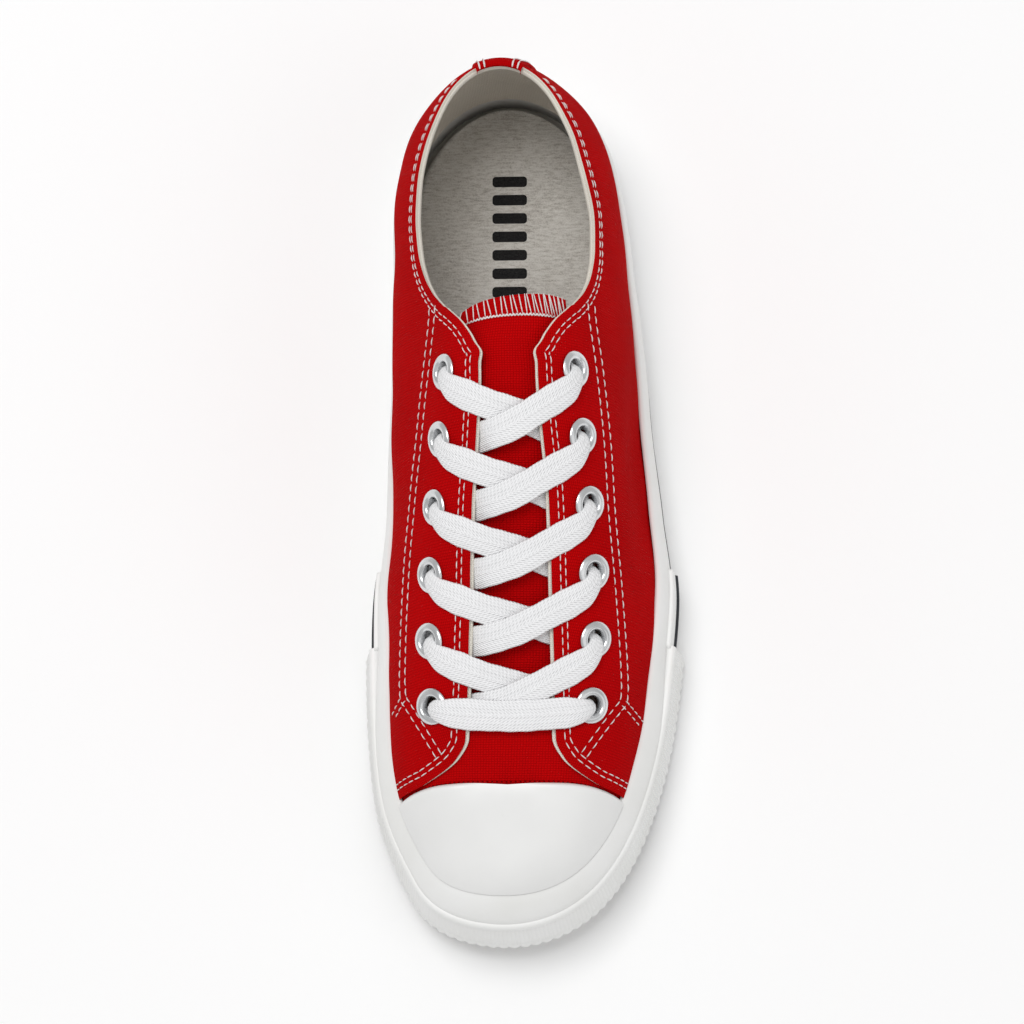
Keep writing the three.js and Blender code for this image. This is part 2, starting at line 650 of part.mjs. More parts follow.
// A flat lace between two points in the plan, over the facing it starts on. Its heights
// are outs of the last, and its ends are cut along the shoe.
function strap(points, slant) {
  const half = LACE_WIDTH / 2 / Math.cos(slant);
  return loft(points.map(([x, y, out]) => {
    const low = [-half, half].map((shift) => topAt(x, y + shift, out));
    const high = [-half, half].map((shift) => topAt(x, y + shift, out + LACE_THICKNESS));
    return [...low, ...high.reverse()];
  }));
}

const LACE_OVER_FLANGE = FLANGE_HEIGHT + 2.5 * CLEARANCE;
const eyeletAt = (row, side) => EYELETS.find((one) => one.row === row && one.side === side);
const gapAt = (row) => throat.half(placeAtY(eyeletAt(row, 1).y)) * BALL_WIDTH;

// Straight bar across the lowest row
function laceBar() {
  const row = EYELET_ROWS - 1;
  const from = eyeletAt(row, 1);
  const middle = axisX(placeAtY(from.y));
  const half = from.x - middle;
  const gap = gapAt(row);
  const rows = [[half, 0, LACE_OVER_FLANGE], [half - FLANGE_WIDTH - EYELET_BORE / 2, 0.3, LACE_OVER_FLANGE],
    [gap, 0.7, 2 * CLEARANCE], [gap / 2, 0.9, LACE_THICKNESS], [0, 1, LACE_THICKNESS]];
  const across = [...rows, ...rows.slice(0, -1).reverse().map(([x, sag, out]) => [-x, sag, out])];
  return strap(across.map(([x, sag, out]) => [middle + x, from.y - LACE_SAG * sag, out]), 0);
}

// A crossing: two laces over each other, joined where they cross. Each starts over an
// eyelet and ends in the throat beside the facing that it passes under.
function laceCross(row) {
  const slantRun = EYELET_PITCH;
  const straps = [-1, 1].map((side) => {
    const from = eyeletAt(row, side);
    const middle = axisX(placeAtY(from.y - slantRun / 2));
    const half = side * (from.x - middle);
    const gap = gapAt(row);
    const end = gap - 2.5 * CLEARANCE;
    const high = 2 * CLEARANCE;
    const low = high - 2 * LACE_THICKNESS - CLEARANCE;
    const rows = [[half, LACE_OVER_FLANGE], [half - FLANGE_WIDTH - EYELET_BORE / 2, LACE_OVER_FLANGE],
      [gap, high], [0, (high + low) / 2], [-end, low]];
    const points = rows.map(([x, out]) => {
      const share = (half - x) / (half + end);
      return [middle + side * x, from.y - slantRun * share, out];
    });
    return toManifold(strap(points, Math.atan(slantRun / (half + end))));
  });
  return toGeometry(union(straps));
}

const finishes = {
  canvas: { color: '#b9090f', roughness: 0.85, metalness: 0 },
  rubber: { color: '#e6e6e2', roughness: 0.5, metalness: 0 },
  gum: { color: '#d8d5cc', roughness: 0.7, metalness: 0 },
  lining: { color: '#bdb8ae', roughness: 0.9, metalness: 0 },
  cotton: { color: '#f2f1ef', roughness: 0.85, metalness: 0 },
  aluminium: { color: '#cfd2d4', roughness: 0.3, metalness: 1 },
};

function piece(name, geometry, finish) {
  const flat = geometry.toNonIndexed();
  flat.computeVertexNormals();
  const mesh = new THREE.Mesh(flat, new THREE.MeshStandardMaterial(finishes[finish]));
  mesh.name = name;
  return mesh;
}

const sneaker = new THREE.Group();
sneaker.add(piece('outsole', outsole(), 'gum'));
sneaker.add(piece('insole', insole(), 'lining'));
sneaker.add(piece('upper', upper(), 'canvas'));
sneaker.add(piece('tongue', tongue(), 'canvas'));
sneaker.add(piece('foxing', foxing(), 'rubber'));
sneaker.add(piece('forefoot_strip', forefootStrip(), 'rubber'));
sneaker.add(piece('toe_bumper', toeBumper(), 'rubber'));
sneaker.add(piece('toe_cap', toeCap(), 'rubber'));
sneaker.add(piece('heel_strip', heelStrip(), 'canvas'));
EYELETS.forEach((one) => {
  const name = `eyelet_${one.side > 0 ? 'lateral' : 'medial'}_${one.row + 1}`;
  sneaker.add(piece(name, eyelet(one), 'aluminium'));
});
for (let row = 0; row < EYELET_ROWS - 1; row += 1) {
  sneaker.add(piece(`lace_cross_${row + 1}`, laceCross(row), 'cotton'));
}
sneaker.add(piece('lace_bar', laceBar(), 'cotton'));

export default sneaker;
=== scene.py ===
# Looks of a low canvas sneaker, left shoe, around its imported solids.
# Sizes are in millimetres as in the part's source, and meshes are made in metres.
# Toe at -Y, heel at +Y, outer side of the foot at +X.

import types

import bmesh
import bpy
import numpy as np
from mathutils import Matrix, Vector


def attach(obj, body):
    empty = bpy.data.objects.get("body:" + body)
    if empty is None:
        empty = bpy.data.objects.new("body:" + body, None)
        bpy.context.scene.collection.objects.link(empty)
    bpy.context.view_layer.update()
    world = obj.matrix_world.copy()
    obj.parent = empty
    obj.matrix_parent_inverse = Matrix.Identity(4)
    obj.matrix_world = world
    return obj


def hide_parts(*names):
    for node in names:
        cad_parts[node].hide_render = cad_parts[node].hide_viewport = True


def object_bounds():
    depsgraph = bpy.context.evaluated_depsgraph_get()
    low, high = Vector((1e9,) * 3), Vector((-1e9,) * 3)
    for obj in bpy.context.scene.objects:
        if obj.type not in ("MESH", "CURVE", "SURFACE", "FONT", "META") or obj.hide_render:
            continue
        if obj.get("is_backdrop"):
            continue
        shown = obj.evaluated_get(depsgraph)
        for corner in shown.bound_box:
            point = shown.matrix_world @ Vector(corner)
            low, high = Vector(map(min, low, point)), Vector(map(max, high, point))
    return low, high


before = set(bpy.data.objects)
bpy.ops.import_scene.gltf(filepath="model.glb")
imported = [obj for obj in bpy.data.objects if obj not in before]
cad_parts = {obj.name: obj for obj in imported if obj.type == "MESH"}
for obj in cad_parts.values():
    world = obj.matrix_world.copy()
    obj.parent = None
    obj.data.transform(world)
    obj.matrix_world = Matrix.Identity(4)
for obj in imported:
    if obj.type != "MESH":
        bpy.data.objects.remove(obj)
cad_box = [list(corner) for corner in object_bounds()]
MM = 0.001

# Sizes and tables repeated from the part's source
LAST_LENGTH = 256.5
BALL_WIDTH = 86.0
INSTEP_HEIGHT = 92.0
COLLAR_HEIGHT = 76.0
TOE_SPRING = 9.0
SOLE_THICKNESS = 6.2
CLEARANCE = 0.3
FOXING_HEIGHT = 28.0
FOXING_WALL = 2.5
BAND_LIFT = 1.0
STRIP_HEIGHT = 22.0
STRIP_WALL = 1.0
BUMPER_HEIGHT = 21.0
BUMPER_WALL = 1.5
RIB_DEPTH = 0.7
VAMP_STEP = 1.1
CAP_WALL = 1.5
INSOLE_THICKNESS = 6.0
INSOLE_CROWN = 0.8
HEEL_STRIP_WIDTH = 21.6
TONGUE_WALL = 2.0
TONGUE_SKEW = 3.3
EYELET_ROWS = 6
EYELET_PITCH = 18.8
EYELET_BORE = 5.8
EYELET_WALL = 0.6
FLANGE_WIDTH = 2.0
LACE_WIDTH = 9.0
LACE_THICKNESS = 1.2
LACE_SAG = 3.0

SECTION_COLUMNS = [
    "place", "medial", "lateral", "medial_bulge", "lateral_bulge", "axis", "ridge", "fullness",
]
SECTIONS = [
    (0.00, 0.635, 0.665, 0.023, 0.023, -0.058, 1.040, 2.2),
    (0.06, 0.605, 0.635, 0.030, 0.030, -0.058, 1.040, 2.2),
    (0.14, 0.527, 0.547, 0.046, 0.038, -0.056, 1.035, 2.2),
    (0.26, 0.433, 0.467, 0.053, 0.031, -0.041, 1.022, 2.2),
    (0.40, 0.411, 0.440, 0.056, 0.017, -0.017, 0.990, 2.2),
    (0.52, 0.427, 0.473, 0.029, 0.006, -0.015, 0.886, 2.2),
    (0.62, 0.476, 0.526, 0.009, 0.000, -0.019, 0.772, 2.2),
    (0.70, 0.510, 0.539, 0.000, 0.000, -0.021, 0.690, 2.3),
    (0.78, 0.552, 0.565, 0.000, 0.000, -0.026, 0.614, 2.5),
    (0.86, 0.612, 0.601, 0.000, 0.000, -0.033, 0.549, 2.7),
    (0.93, 0.664, 0.651, 0.000, 0.000, -0.042, 0.500, 2.9),
    (1.00, 0.860, 0.740, 0.000, 0.000, -0.058, 0.457, 3.0),
]
HEEL_DOME = 0.094
TOE_DOME = 0.109
DOME_FADE = 0.13
BULGE_TOP = 0.8
SPRING_START = 0.7
STATION_STEPS = 32
COLLAR = [
    (0.03, 1.000), (0.08, 0.993), (0.12, 0.941), (0.17, 0.888), (0.21, 0.862), (0.245, 0.875),
    (0.28, 0.928), (0.305, 0.993), (0.33, 1.079), (0.35, 1.138), (0.368, 1.170), (0.38, 1.190),
    (0.39, 1.250), (0.43, 2.200),
]
OPENING = [
    (0.33, 0.100), (0.41, 0.100), (0.56, 0.131), (0.70, 0.143), (0.81, 0.153), (0.832, 0.186),
    (0.853, 0.272), (0.867, 0.384), (0.88, 0.700),
]
TONGUE = [(0.33, 0.178), (0.345, 0.188), (0.40, 0.225), (0.60, 0.270), (0.84, 0.240)]
CAP_REAR = 0.860
CAP_SWEEP = 0.013
CAP_SWEEP_AT = 0.384
EYELET_FIRST = 0.405
EYELET_HALF = [0.223, 0.243, 0.264, 0.279, 0.284, 0.272]
STRIP_FROM = 0.588
BUMPER_FROM = 0.675
FOXING_OUT = CLEARANCE + FOXING_WALL
STRIP_OUT = FOXING_OUT + CLEARANCE + STRIP_WALL
BUMPER_OUT = STRIP_OUT + CLEARANCE + BUMPER_WALL + RIB_DEPTH
HEEL_Y = (LAST_LENGTH + BUMPER_OUT - FOXING_OUT) / 2

# Sizes that only the looks have
CLOTH_TUCK = 7.0
CANVAS_WALL = 2.1
COLLAR_PAD = 0.7
VAMP_THINNING = 1.15
FACING_LAYER = 0.35
FACING_FROM = 0.345
WAIST_DEPTH = 2.6
CREASE_BOW = 0.012
EDGE_BLEND = 3.0
CORNER_CUT = 1.1
CORNER_SPREAD = 12.0
FAR_INSIDE = 50.0
STITCH_PITCH = 3.1
STITCH_LENGTH = 2.75
STITCH_STEPS = 20
STITCH_HUMP = [-0.16, 0.02, 0.1, 0.1, 0.02, -0.16]
THREAD_RADIUS = 0.185
FACING_GAP = 0.95
EDGE_ROWS = (2.7, 4.3)
TAPE_ROWS = (1.8, 4.2)
CANVAS_THREAD = 0.85
EYELET_STEPS = 48
HOLE_DEPTH = 8.0
HOLE_SEED = 1.2
CAP_DOME = 20.0
STRIPE_Z = 14.5
STRIP_STRIPE_Z = 12.5
BAND_BLEND = 6.0
BAND_INSIDE = 0.4
RIB_PITCH = 1.25
SIDE_LEAN = 1.8
TOE_LEAN = 2.2
SCALLOP_PITCH = 3.3
INSOLE_INSET = 3.3
TONGUE_FREE = 0.375
TONGUE_OFFSET = 2.0
TONGUE_GROWTH = 1.6
OVERLOCK_BAND = 0.0195
TAPE_WALL = 1.15
STRAP_PITCH = 18.8
STRAP_FAR = 28.0
STRAP_END = 38.0
CURVE_STEPS = 9
PRINT_X = -4.0
PRINT_Y = 106.5
PRINT_BARS = 7
PRINT_PITCH = 5.9
PRINT_LENGTH = 10.7
PRINT_WIDTH = 3.4
PRINT_ROUND = 1.1
WORLD_LIGHT = 0.56
CAMERA_ELEVATION = 77.5
CAMERA_AZIMUTH = 12.0
CAMERA_DISTANCE = 1350.0
CAMERA_TARGET = (-2.5, -4.85, 30.0)
CAMERA_LENS = 157.6
SENSOR_WIDTH = 36.0


def smooth_curve(rows, column=1):
    """A smooth curve through a table's points, without overshoot."""
    xs = np.array([row[0] for row in rows], float)
    ys = np.array([row[column] for row in rows], float)
    slopes = np.diff(ys) / np.diff(xs)
    tangents = np.concatenate([slopes[:1], np.zeros(len(xs) - 2), slopes[-1:]])
    for i in range(1, len(xs) - 1):
        if slopes[i - 1] * slopes[i] > 0:
            tangents[i] = 2 / (1 / slopes[i - 1] + 1 / slopes[i])

    def at(x):
        x = np.clip(x, xs[0], xs[-1])
        i = np.clip(np.searchsorted(xs, x) - 1, 0, len(slopes) - 1)
        step = xs[i + 1] - xs[i]
        u = (x - xs[i]) / step
        bend = step * u * (1 - u) * ((1 - u) * tangents[i] - u * tangents[i + 1])
        return ys[i] + (ys[i + 1] - ys[i]) * u * u * (3 - 2 * u) + bend

    return at


LAST = types.SimpleNamespace(
    **{name: smooth_curve(SECTIONS, i) for i, name in enumerate(SECTION_COLUMNS) if i}
)
collar_share = smooth_curve(COLLAR)
opening_share = smooth_curve(OPENING)
tongue_share = smooth_curve(TONGUE)


def place_of(theta):
    return (1 - np.cos(theta)) / 2


def theta_of(place):
    return np.arccos(np.clip(1 - 2 * np.asarray(place, float), -1, 1))


def along_y(place):
    return HEEL_Y - place * LAST_LENGTH


def place_at_y(y):
    return (HEEL_Y - y) / LAST_LENGTH


def half_breadth(place, side):
    return np.where(side > 0, LAST.lateral(place), LAST.medial(place)) * BALL_WIDTH


def half_bulge(place, side):
    return np.where(side > 0, LAST.lateral_bulge(place), LAST.medial_bulge(place)) * BALL_WIDTH


def reach(side):
    """How far the shoe reaches to one side of the last's reference line."""
    theta = np.pi * np.arange(STATION_STEPS + 1) / STATION_STEPS
    place = place_of(theta)
    out = np.where(place > BUMPER_FROM, BUMPER_OUT, STRIP_OUT)
    offset = side * LAST.axis(place) * BALL_WIDTH
    return np.max(offset + np.sin(theta) * (half_breadth(place, side) + out))


AXIS_SHIFT = (reach(-1) - reach(1)) / 2


def axis_x(place):
    return LAST.axis(place) * BALL_WIDTH + AXIS_SHIFT


def spring(place):
    return TOE_SPRING * np.maximum(0, (place - SPRING_START) / (1 - SPRING_START)) ** 2


def base_z(place):
    return SOLE_THICKNESS + CLEARANCE + spring(place)


def ridge_z(place):
    return LAST.ridge(place) * INSTEP_HEIGHT


def swell_at(rise):
    """The share of the side's bulge at a rise."""
    return (1 - np.cos(2 * np.pi * np.minimum(rise / BULGE_TOP, 1))) / 2


def rise_at(z, place, out=0.0):
    return (z - base_z(place)) / (ridge_z(place) - base_z(place) + out)


def section(theta, side, rise, out=0.0):
    """Points of the last: rise is 0 at its lower edge and 1 at the ridge, out grows it."""
    place = place_of(theta)
    rise = np.clip(rise, 0, 1)
    fullness = LAST.fullness(place)
    narrow = (1 - rise**fullness) ** (1 / fullness)
    push = out * narrow + half_bulge(place, side) * swell_at(rise)
    toe_dome = TOE_DOME * np.exp((place - 1) / DOME_FADE)
    heel_dome = HEEL_DOME * np.exp(-place / DOME_FADE)
    x = side * np.sin(theta) * (half_breadth(place, side) * narrow + push)
    y = (1 - narrow) * (toe_dome - heel_dome) * LAST_LENGTH + np.cos(theta) * push
    z = (ridge_z(place) - base_z(place) + out) * rise
    return np.stack(np.broadcast_arrays(axis_x(place) + x, along_y(place) + y, base_z(place) + z), -1)


def side_at(theta, side, z, out=0.0):
    """Points of the last's side at given heights."""
    points = section(theta, side, rise_at(z, place_of(theta), out), out)
    points[..., 2] = z
    return points


def plan_to_form(x, y, out=0.0):
    """The angle along the last, the side and the rise over a place in the plan."""
    x, y, out = np.broadcast_arrays(*(np.asarray(v, float) for v in (x, y, out)))
    place = place_at_y(y)
    swell = np.zeros(x.shape)
    for _ in range(12):
        side = np.where(x > axis_x(place), 1, -1)
        theta = theta_of(place)
        fullness = LAST.fullness(place)
        span = np.abs(x - axis_x(place)) / np.sin(theta) - swell
        narrow = np.clip(span / (half_breadth(place, side) + out), 0, 1)
        rise = (1 - narrow**fullness) ** (1 / fullness)
        swell = half_bulge(place, side) * swell_at(rise)
        point = section(theta, side, rise, out)
        place = np.clip(place + (point[..., 1] - y) / LAST_LENGTH, 0.001, 0.999)
    return theta, side, rise


def top_at(x, y, out=0.0):
    """Points on top of the last over places in the plan."""
    theta, side, rise = plan_to_form(x, y, out)
    points = section(theta, side, rise, out)
    points[..., 0] = x
    points[..., 1] = y
    return points


def unit(vectors):
    return vectors / np.maximum(np.linalg.norm(vectors, axis=-1, keepdims=True), 1e-12)


def ease(share):
    """A smooth step from 0 to 1."""
    share = np.clip(share, 0, 1)
    return share * share * (3 - 2 * share)


def fade(distance):
    """1 far below zero, 0 far above it."""
    return 1 / (1 + np.exp(distance))


def run_lengths(points):
    """Distances from the start along lines of points."""
    steps = np.linalg.norm(np.diff(points, axis=-2), axis=-1)
    return np.concatenate([np.zeros((*steps.shape[:-1], 1)), np.cumsum(steps, axis=-1)], -1)


def top_normal(x, y):
    """The last's outward direction over places in the plan."""
    nudge = 0.5
    across = top_at(x + nudge, y) - top_at(x - nudge, y)
    along = top_at(x, y + nudge) - top_at(x, y - nudge)
    return unit(np.cross(across, along))


def form_normal(theta, side, rise):
    """The last's outward direction at an angle and a rise."""
    nudge = 0.004
    step = np.minimum(nudge, (1 - rise) / 2 + 1e-5)
    along = section(theta + nudge, side, rise) - section(theta - nudge, side, rise)
    up = section(theta, side, rise + step) - section(theta, side, rise - step)
    return unit(np.cross(along, up) * -np.asarray(side, float)[..., None])


# Meshes

def in_scene(name, data):
    """A new object in the scene."""
    made = bpy.data.objects.new(name, data)
    bpy.context.scene.collection.objects.link(made)
    return made


def clean_mesh(name, vertices, faces, materials, face_slots=None, corner_uv=None):
    """An object from points in millimetres, with shared points merged and faces turned out."""
    mesh = bpy.data.meshes.new(name)
    mesh.from_pydata([tuple(v) for v in np.asarray(vertices) * MM], [], faces)
    for material in materials:
        mesh.materials.append(material)
    if face_slots is not None:
        mesh.polygons.foreach_set("material_index", np.asarray(face_slots, np.int32))
    if corner_uv is not None:
        layer = mesh.uv_layers.new(name="cloth")
        layer.data.foreach_set("uv", np.asarray(corner_uv, np.float32).ravel())
    build = bmesh.new()
    build.from_mesh(mesh)
    bmesh.ops.remove_doubles(build, verts=build.verts, dist=1e-6)
    bmesh.ops.dissolve_degenerate(build, dist=1e-7, edges=build.edges)
    bmesh.ops.recalc_face_normals(build, faces=build.faces)
    build.to_mesh(mesh)
    build.free()
    mesh.polygons.foreach_set("use_smooth", [True] * len(mesh.polygons))
    mesh.update()
    return in_scene(name, mesh)


CORNERS = ((0, 0), (1, 0), (1, 1), (0, 1))


def grid_faces(rows, columns, loop_u=False, loop_v=False):
    """Faces of a grid of points, and the row and the column at which each of them starts."""
    counts = (rows if loop_u else rows - 1, columns if loop_v else columns - 1)
    i, j = np.meshgrid(*(np.arange(count) for count in counts), indexing="ij")
    return np.stack([(i + a) % rows * columns + (j + b) % columns for a, b in CORNERS], -1), i, j


def grid_mesh(
    name, points, materials, uv=None, slots=0, loop_u=False, loop_v=False, caps=False, keep=None
):
    """A mesh over a grid of points. Slots give the faces their materials, keep leaves faces out."""
    rows, columns = points.shape[:2]
    faces, i, j = grid_faces(rows, columns, loop_u, loop_v)
    chosen = np.ones(i.shape, bool) if keep is None else keep[i, j]
    faces = faces[chosen].tolist()
    face_slots = np.broadcast_to(slots, i.shape)[chosen].tolist()
    corner_uv = None
    if uv is not None:
        corner_uv = np.stack([uv[i + a, j + b] for a, b in CORNERS], 2)[chosen].reshape(-1, 2)
    if caps:
        faces += [list(range(columns)), list(range((rows - 1) * columns, rows * columns))]
        face_slots += [0, 0]
        if uv is not None:
            corner_uv = np.concatenate([corner_uv, np.zeros((2 * columns, 2))])
    return clean_mesh(name, points.reshape(-1, 3), faces, materials, face_slots, corner_uv)


def tube_parts(paths, ups, radius, taper=(0.0, 0.75, 1.0, 1.0, 0.75, 0.0)):
    """Vertices and faces of many short tubes whose ends narrow by the taper."""
    sides = 6
    paths = np.asarray(paths, float)
    tangents = unit(np.gradient(paths, axis=1))
    across = unit(np.cross(tangents, ups))
    lift = np.cross(across, tangents)
    turn = 2 * np.pi * np.arange(sides) / sides
    steps = paths.shape[1]
    scale = radius * np.interp(np.linspace(0, 1, steps), np.linspace(0, 1, len(taper)), taper)
    ring = across[:, :, None] * np.cos(turn)[None, None, :, None]
    ring = ring + lift[:, :, None] * np.sin(turn)[None, None, :, None]
    points = paths[:, :, None] + ring * scale[None, :, None, None]
    count = len(paths)
    n, i, j = np.meshgrid(np.arange(count), np.arange(steps - 1), np.arange(sides), indexing="ij")
    corner = lambda a, b: (n * steps + i + a) * sides + (j + b) % sides
    faces = np.stack([corner(0, 0), corner(0, 1), corner(1, 1), corner(1, 0)], -1).reshape(-1, 4)
    return points.reshape(-1, 3), faces


def tubes_mesh(name, groups, material):
    """One object from several groups of tubes."""
    vertices, faces, start = [], [], 0
    for points, quads in groups:
        vertices.append(points)
        faces.append(quads + start)
        start += len(points)
    return clean_mesh(name, np.concatenate(vertices), np.concatenate(faces).tolist(), [material])


def resample(points, extra, spacing):
    """Points at even spacing along a line, with other values that run along it."""
    lengths = run_lengths(points)
    at = np.linspace(0, lengths[-1], max(2, int(round(lengths[-1] / spacing)) + 1))
    mix = lambda values: np.stack([np.interp(at, lengths, column) for column in values.T], 1)
    return mix(points), mix(extra)


def stitches(points, normals, pitch=STITCH_PITCH, length=STITCH_LENGTH, radius=THREAD_RADIUS):
    """Single stitches along a line on the cloth, each sunk at its ends."""
    fine, ups = resample(points, normals, pitch / STITCH_STEPS)
    lengths = np.arange(len(fine)) * pitch / STITCH_STEPS
    count = int(lengths[-1] / pitch)
    starts = (np.arange(count) + 0.5) * lengths[-1] / count - length / 2
    at = starts[:, None] + np.linspace(0, 1, len(STITCH_HUMP)) * length
    mix = lambda values: np.stack([np.interp(at, lengths, column) for column in values.T], -1)
    ups = unit(mix(ups))
    paths = mix(fine) + ups * (np.array(STITCH_HUMP) + radius / 2)[:, None]
    return tube_parts(paths, ups, radius)


def thread_along(path, up, radius, taper):
    """One long thread along a path."""
    return tube_parts([path], [np.tile(unit(np.array(up)), (len(path), 1))], radius, taper=taper)


# Cloth surface: soft undulations and the facing's second layer, as an offset from the last

FACING_LINE = smooth_curve([
    (0.33, 0.300), (0.40, 0.330), (0.53, 0.367), (0.63, 0.395), (0.73, 0.407), (0.80, 0.405),
])
CREASES = [
    # x, y, direction in degrees, length, width, depth
    (-33.0, -50.0, 70.0, 26.0, 5.0, 0.25), (34.0, -52.0, 105.0, 28.0, 5.0, 0.20),
    (-34.0, -25.0, 60.0, 22.0, 4.0, -0.15), (33.0, -18.0, 120.0, 24.0, 5.0, -0.15),
    (-30.0, 22.0, 95.0, 30.0, 5.0, 0.30), (29.0, 30.0, 80.0, 30.0, 5.0, 0.30),
    (-2.0, -82.0, 5.0, 22.0, 3.0, 0.20), (-24.0, -86.0, 40.0, 16.0, 3.0, 0.25),
    (23.0, -87.0, 140.0, 16.0, 3.0, 0.25), (-22.0, 75.0, 100.0, 26.0, 6.0, 0.30),
]


def crease_out(x, y):
    """Soft troughs, or ridges where the depth is below zero."""
    total = np.zeros(np.shape(x))
    for spot_x, spot_y, degrees, length, width, depth in CREASES:
        turn = np.radians(degrees)
        along = (x - spot_x) * np.cos(turn) + (y - spot_y) * np.sin(turn)
        across = (y - spot_y) * np.cos(turn) - (x - spot_x) * np.sin(turn)
        bowed = across - CREASE_BOW * along**2
        total = total - depth * np.exp(-((along / length * 2) ** 2) - (bowed / width * 2) ** 2)
    return total


def cloth_out(theta, side, rise):
    """How far the cloth stands out from the last: facing, waves, drawn-in outer waist and creases."""
    x, y, z = np.moveaxis(section(theta, side, rise), -1, 0)
    place = place_at_y(y)
    away = np.abs(x - axis_x(place)) / BALL_WIDTH
    facing = fade((away - FACING_LINE(place)) * BALL_WIDTH / 0.8) * (place > 0.3)
    facing = facing * fade((FACING_FROM - place) * LAST_LENGTH / 1.2)
    waves = 0.16 * np.sin(y / 7.3 + 0.8 * np.sin(z / 9.0) + side) * np.sin(z / 11.0 + y / 31.0)
    waves = waves + 0.10 * np.sin(y / 3.9 + z / 6.1 + 2 * side)
    waist = WAIST_DEPTH * np.exp(-(((place - 0.50) / 0.16) ** 2) - ((z - 40.0) / 13.0) ** 2) * (side > 0)
    return FACING_LAYER * facing + waves - waist + crease_out(x, y)


def cloth(theta, side, rise, out=0.0):
    return section(theta, side, rise, out + cloth_out(theta, side, rise))


def cloth_at(x, y):
    """Points and normals of the cloth over places in the plan."""
    return top_at(x, y, cloth_out(*plan_to_form(x, y))), top_normal(x, y)


# Materials

class Graph:
    """Short names for the nodes of one material."""

    def __init__(self, name, roughness, sheen=0.0, metallic=0.0, specular=0.5):
        self.material = bpy.data.materials.new(name)
        self.material.use_nodes = True
        self.tree = self.material.node_tree
        self.shader = self.tree.nodes["Principled BSDF"]
        names = ("Roughness", "Metallic", "Specular IOR Level", "Sheen Weight", "Sheen Roughness")
        for socket, value in zip(names, (roughness, metallic, specular, sheen, 0.5)):
            self.shader.inputs[socket].default_value = value

    def put(self, socket, value):
        if isinstance(value, bpy.types.NodeSocket):
            self.tree.links.new(value, socket)
        else:
            socket.default_value = value

    def node(self, kind, inputs=(), **settings):
        made = self.tree.nodes.new(kind)
        for key, value in settings.items():
            setattr(made, key, value)
        for socket, value in dict(inputs).items():
            self.put(made.inputs[socket], value)
        return made

    def math(self, operation, *values):
        made = self.node("ShaderNodeMath", operation=operation)
        for socket, value in zip(made.inputs, values):
            self.put(socket, value)
        return made.outputs[0]

    def add(self, a, b):
        return self.math("ADD", a, b)

    def minus(self, a, b):
        return self.math("SUBTRACT", a, b)

    def times(self, a, b):
        return self.math("MULTIPLY", a, b)

    def over(self, a, b):
        return self.math("DIVIDE", a, b)

    def size(self, a):
        return self.math("ABSOLUTE", a)

    def wave(self, turns):
        return self.math("SINE", self.times(turns, 2 * np.pi))

    def place(self):
        return self.node("ShaderNodeTexCoord").outputs["Object"]

    def cloth_uv(self):
        uv = self.node("ShaderNodeUVMap", uv_map="cloth").outputs[0]
        return self.node("ShaderNodeSeparateXYZ", {0: uv}).outputs[:2]

    def noise(self, scale, detail=3.0, vector=None, roughness=0.5):
        inputs = {"Vector": vector or self.place(), "Scale": scale, "Detail": detail, "Roughness": roughness}
        return self.node("ShaderNodeTexNoise", inputs).outputs["Fac"]

    def ramp(self, factor, stops):
        made = self.node("ShaderNodeValToRGB", {0: factor})
        elements = made.color_ramp.elements
        while len(elements) < len(stops):
            elements.new(0.5)
        for element, (at, color) in zip(elements, stops):
            element.position = at
            element.color = (*color, 1)
        return made.outputs[0]

    def mix(self, factor, a, b, blend="MIX"):
        made = self.node("ShaderNodeMix", data_type="RGBA", blend_type=blend)
        self.put(made.inputs[0], factor)
        for socket, value in ((made.inputs[6], a), (made.inputs[7], b)):
            self.put(socket, (*value, 1) if isinstance(value, tuple) else value)
        return made.outputs[2]

    def finish(self, color, height=None, distance=0.0002, strength=1.0, roughness=None):
        self.put(self.shader.inputs["Base Color"], (*color, 1) if isinstance(color, tuple) else color)
        if roughness is not None:
            self.put(self.shader.inputs["Roughness"], roughness)
        if height is not None:
            bump = self.node("ShaderNodeBump", {"Height": height, "Distance": distance, "Strength": strength})
            self.put(self.shader.inputs["Normal"], bump.outputs[0])
        return self.material


def weave_height(graph, thread):
    """Plain weave: threads over and under each other in a chequer, a little uneven."""
    u, v = graph.cloth_uv()
    wander = graph.noise(260.0, 2.0)
    u = graph.add(graph.over(u, thread), graph.times(wander, 0.7))
    v = graph.add(graph.over(v, thread * 0.8), graph.times(wander, 0.5))
    parity = graph.math("PINGPONG", graph.add(graph.math("FLOOR", u), graph.math("FLOOR", v)), 1.0)
    humps = [graph.size(graph.math("SINE", graph.times(at, np.pi))) for at in (u, v)]
    both = graph.times(*[graph.math("POWER", hump, 0.6) for hump in humps])
    return graph.times(both, graph.add(graph.times(parity, 0.35), 0.65))


def canvas_material(name, deep, plain, light, thread=CANVAS_THREAD, depth=0.00024):
    graph = Graph(name, 0.95, specular=0.03)
    height = weave_height(graph, thread)
    # The colour follows the weave's height: painted shade in the hollows between the threads and painted
    # highlight on their crowns.
    color = graph.ramp(height, [(0.0, deep), (0.45, plain), (1.0, light)])
    shade = graph.ramp(graph.noise(45.0, 4.0), [(0.3, (0.88, 0.88, 0.88)), (0.7, (1.0, 1.0, 1.0))])
    relief = graph.add(height, graph.times(graph.noise(1500.0, 2.0), 0.35))
    return graph.finish(graph.mix(1.0, color, shade, "MULTIPLY"), relief, depth)


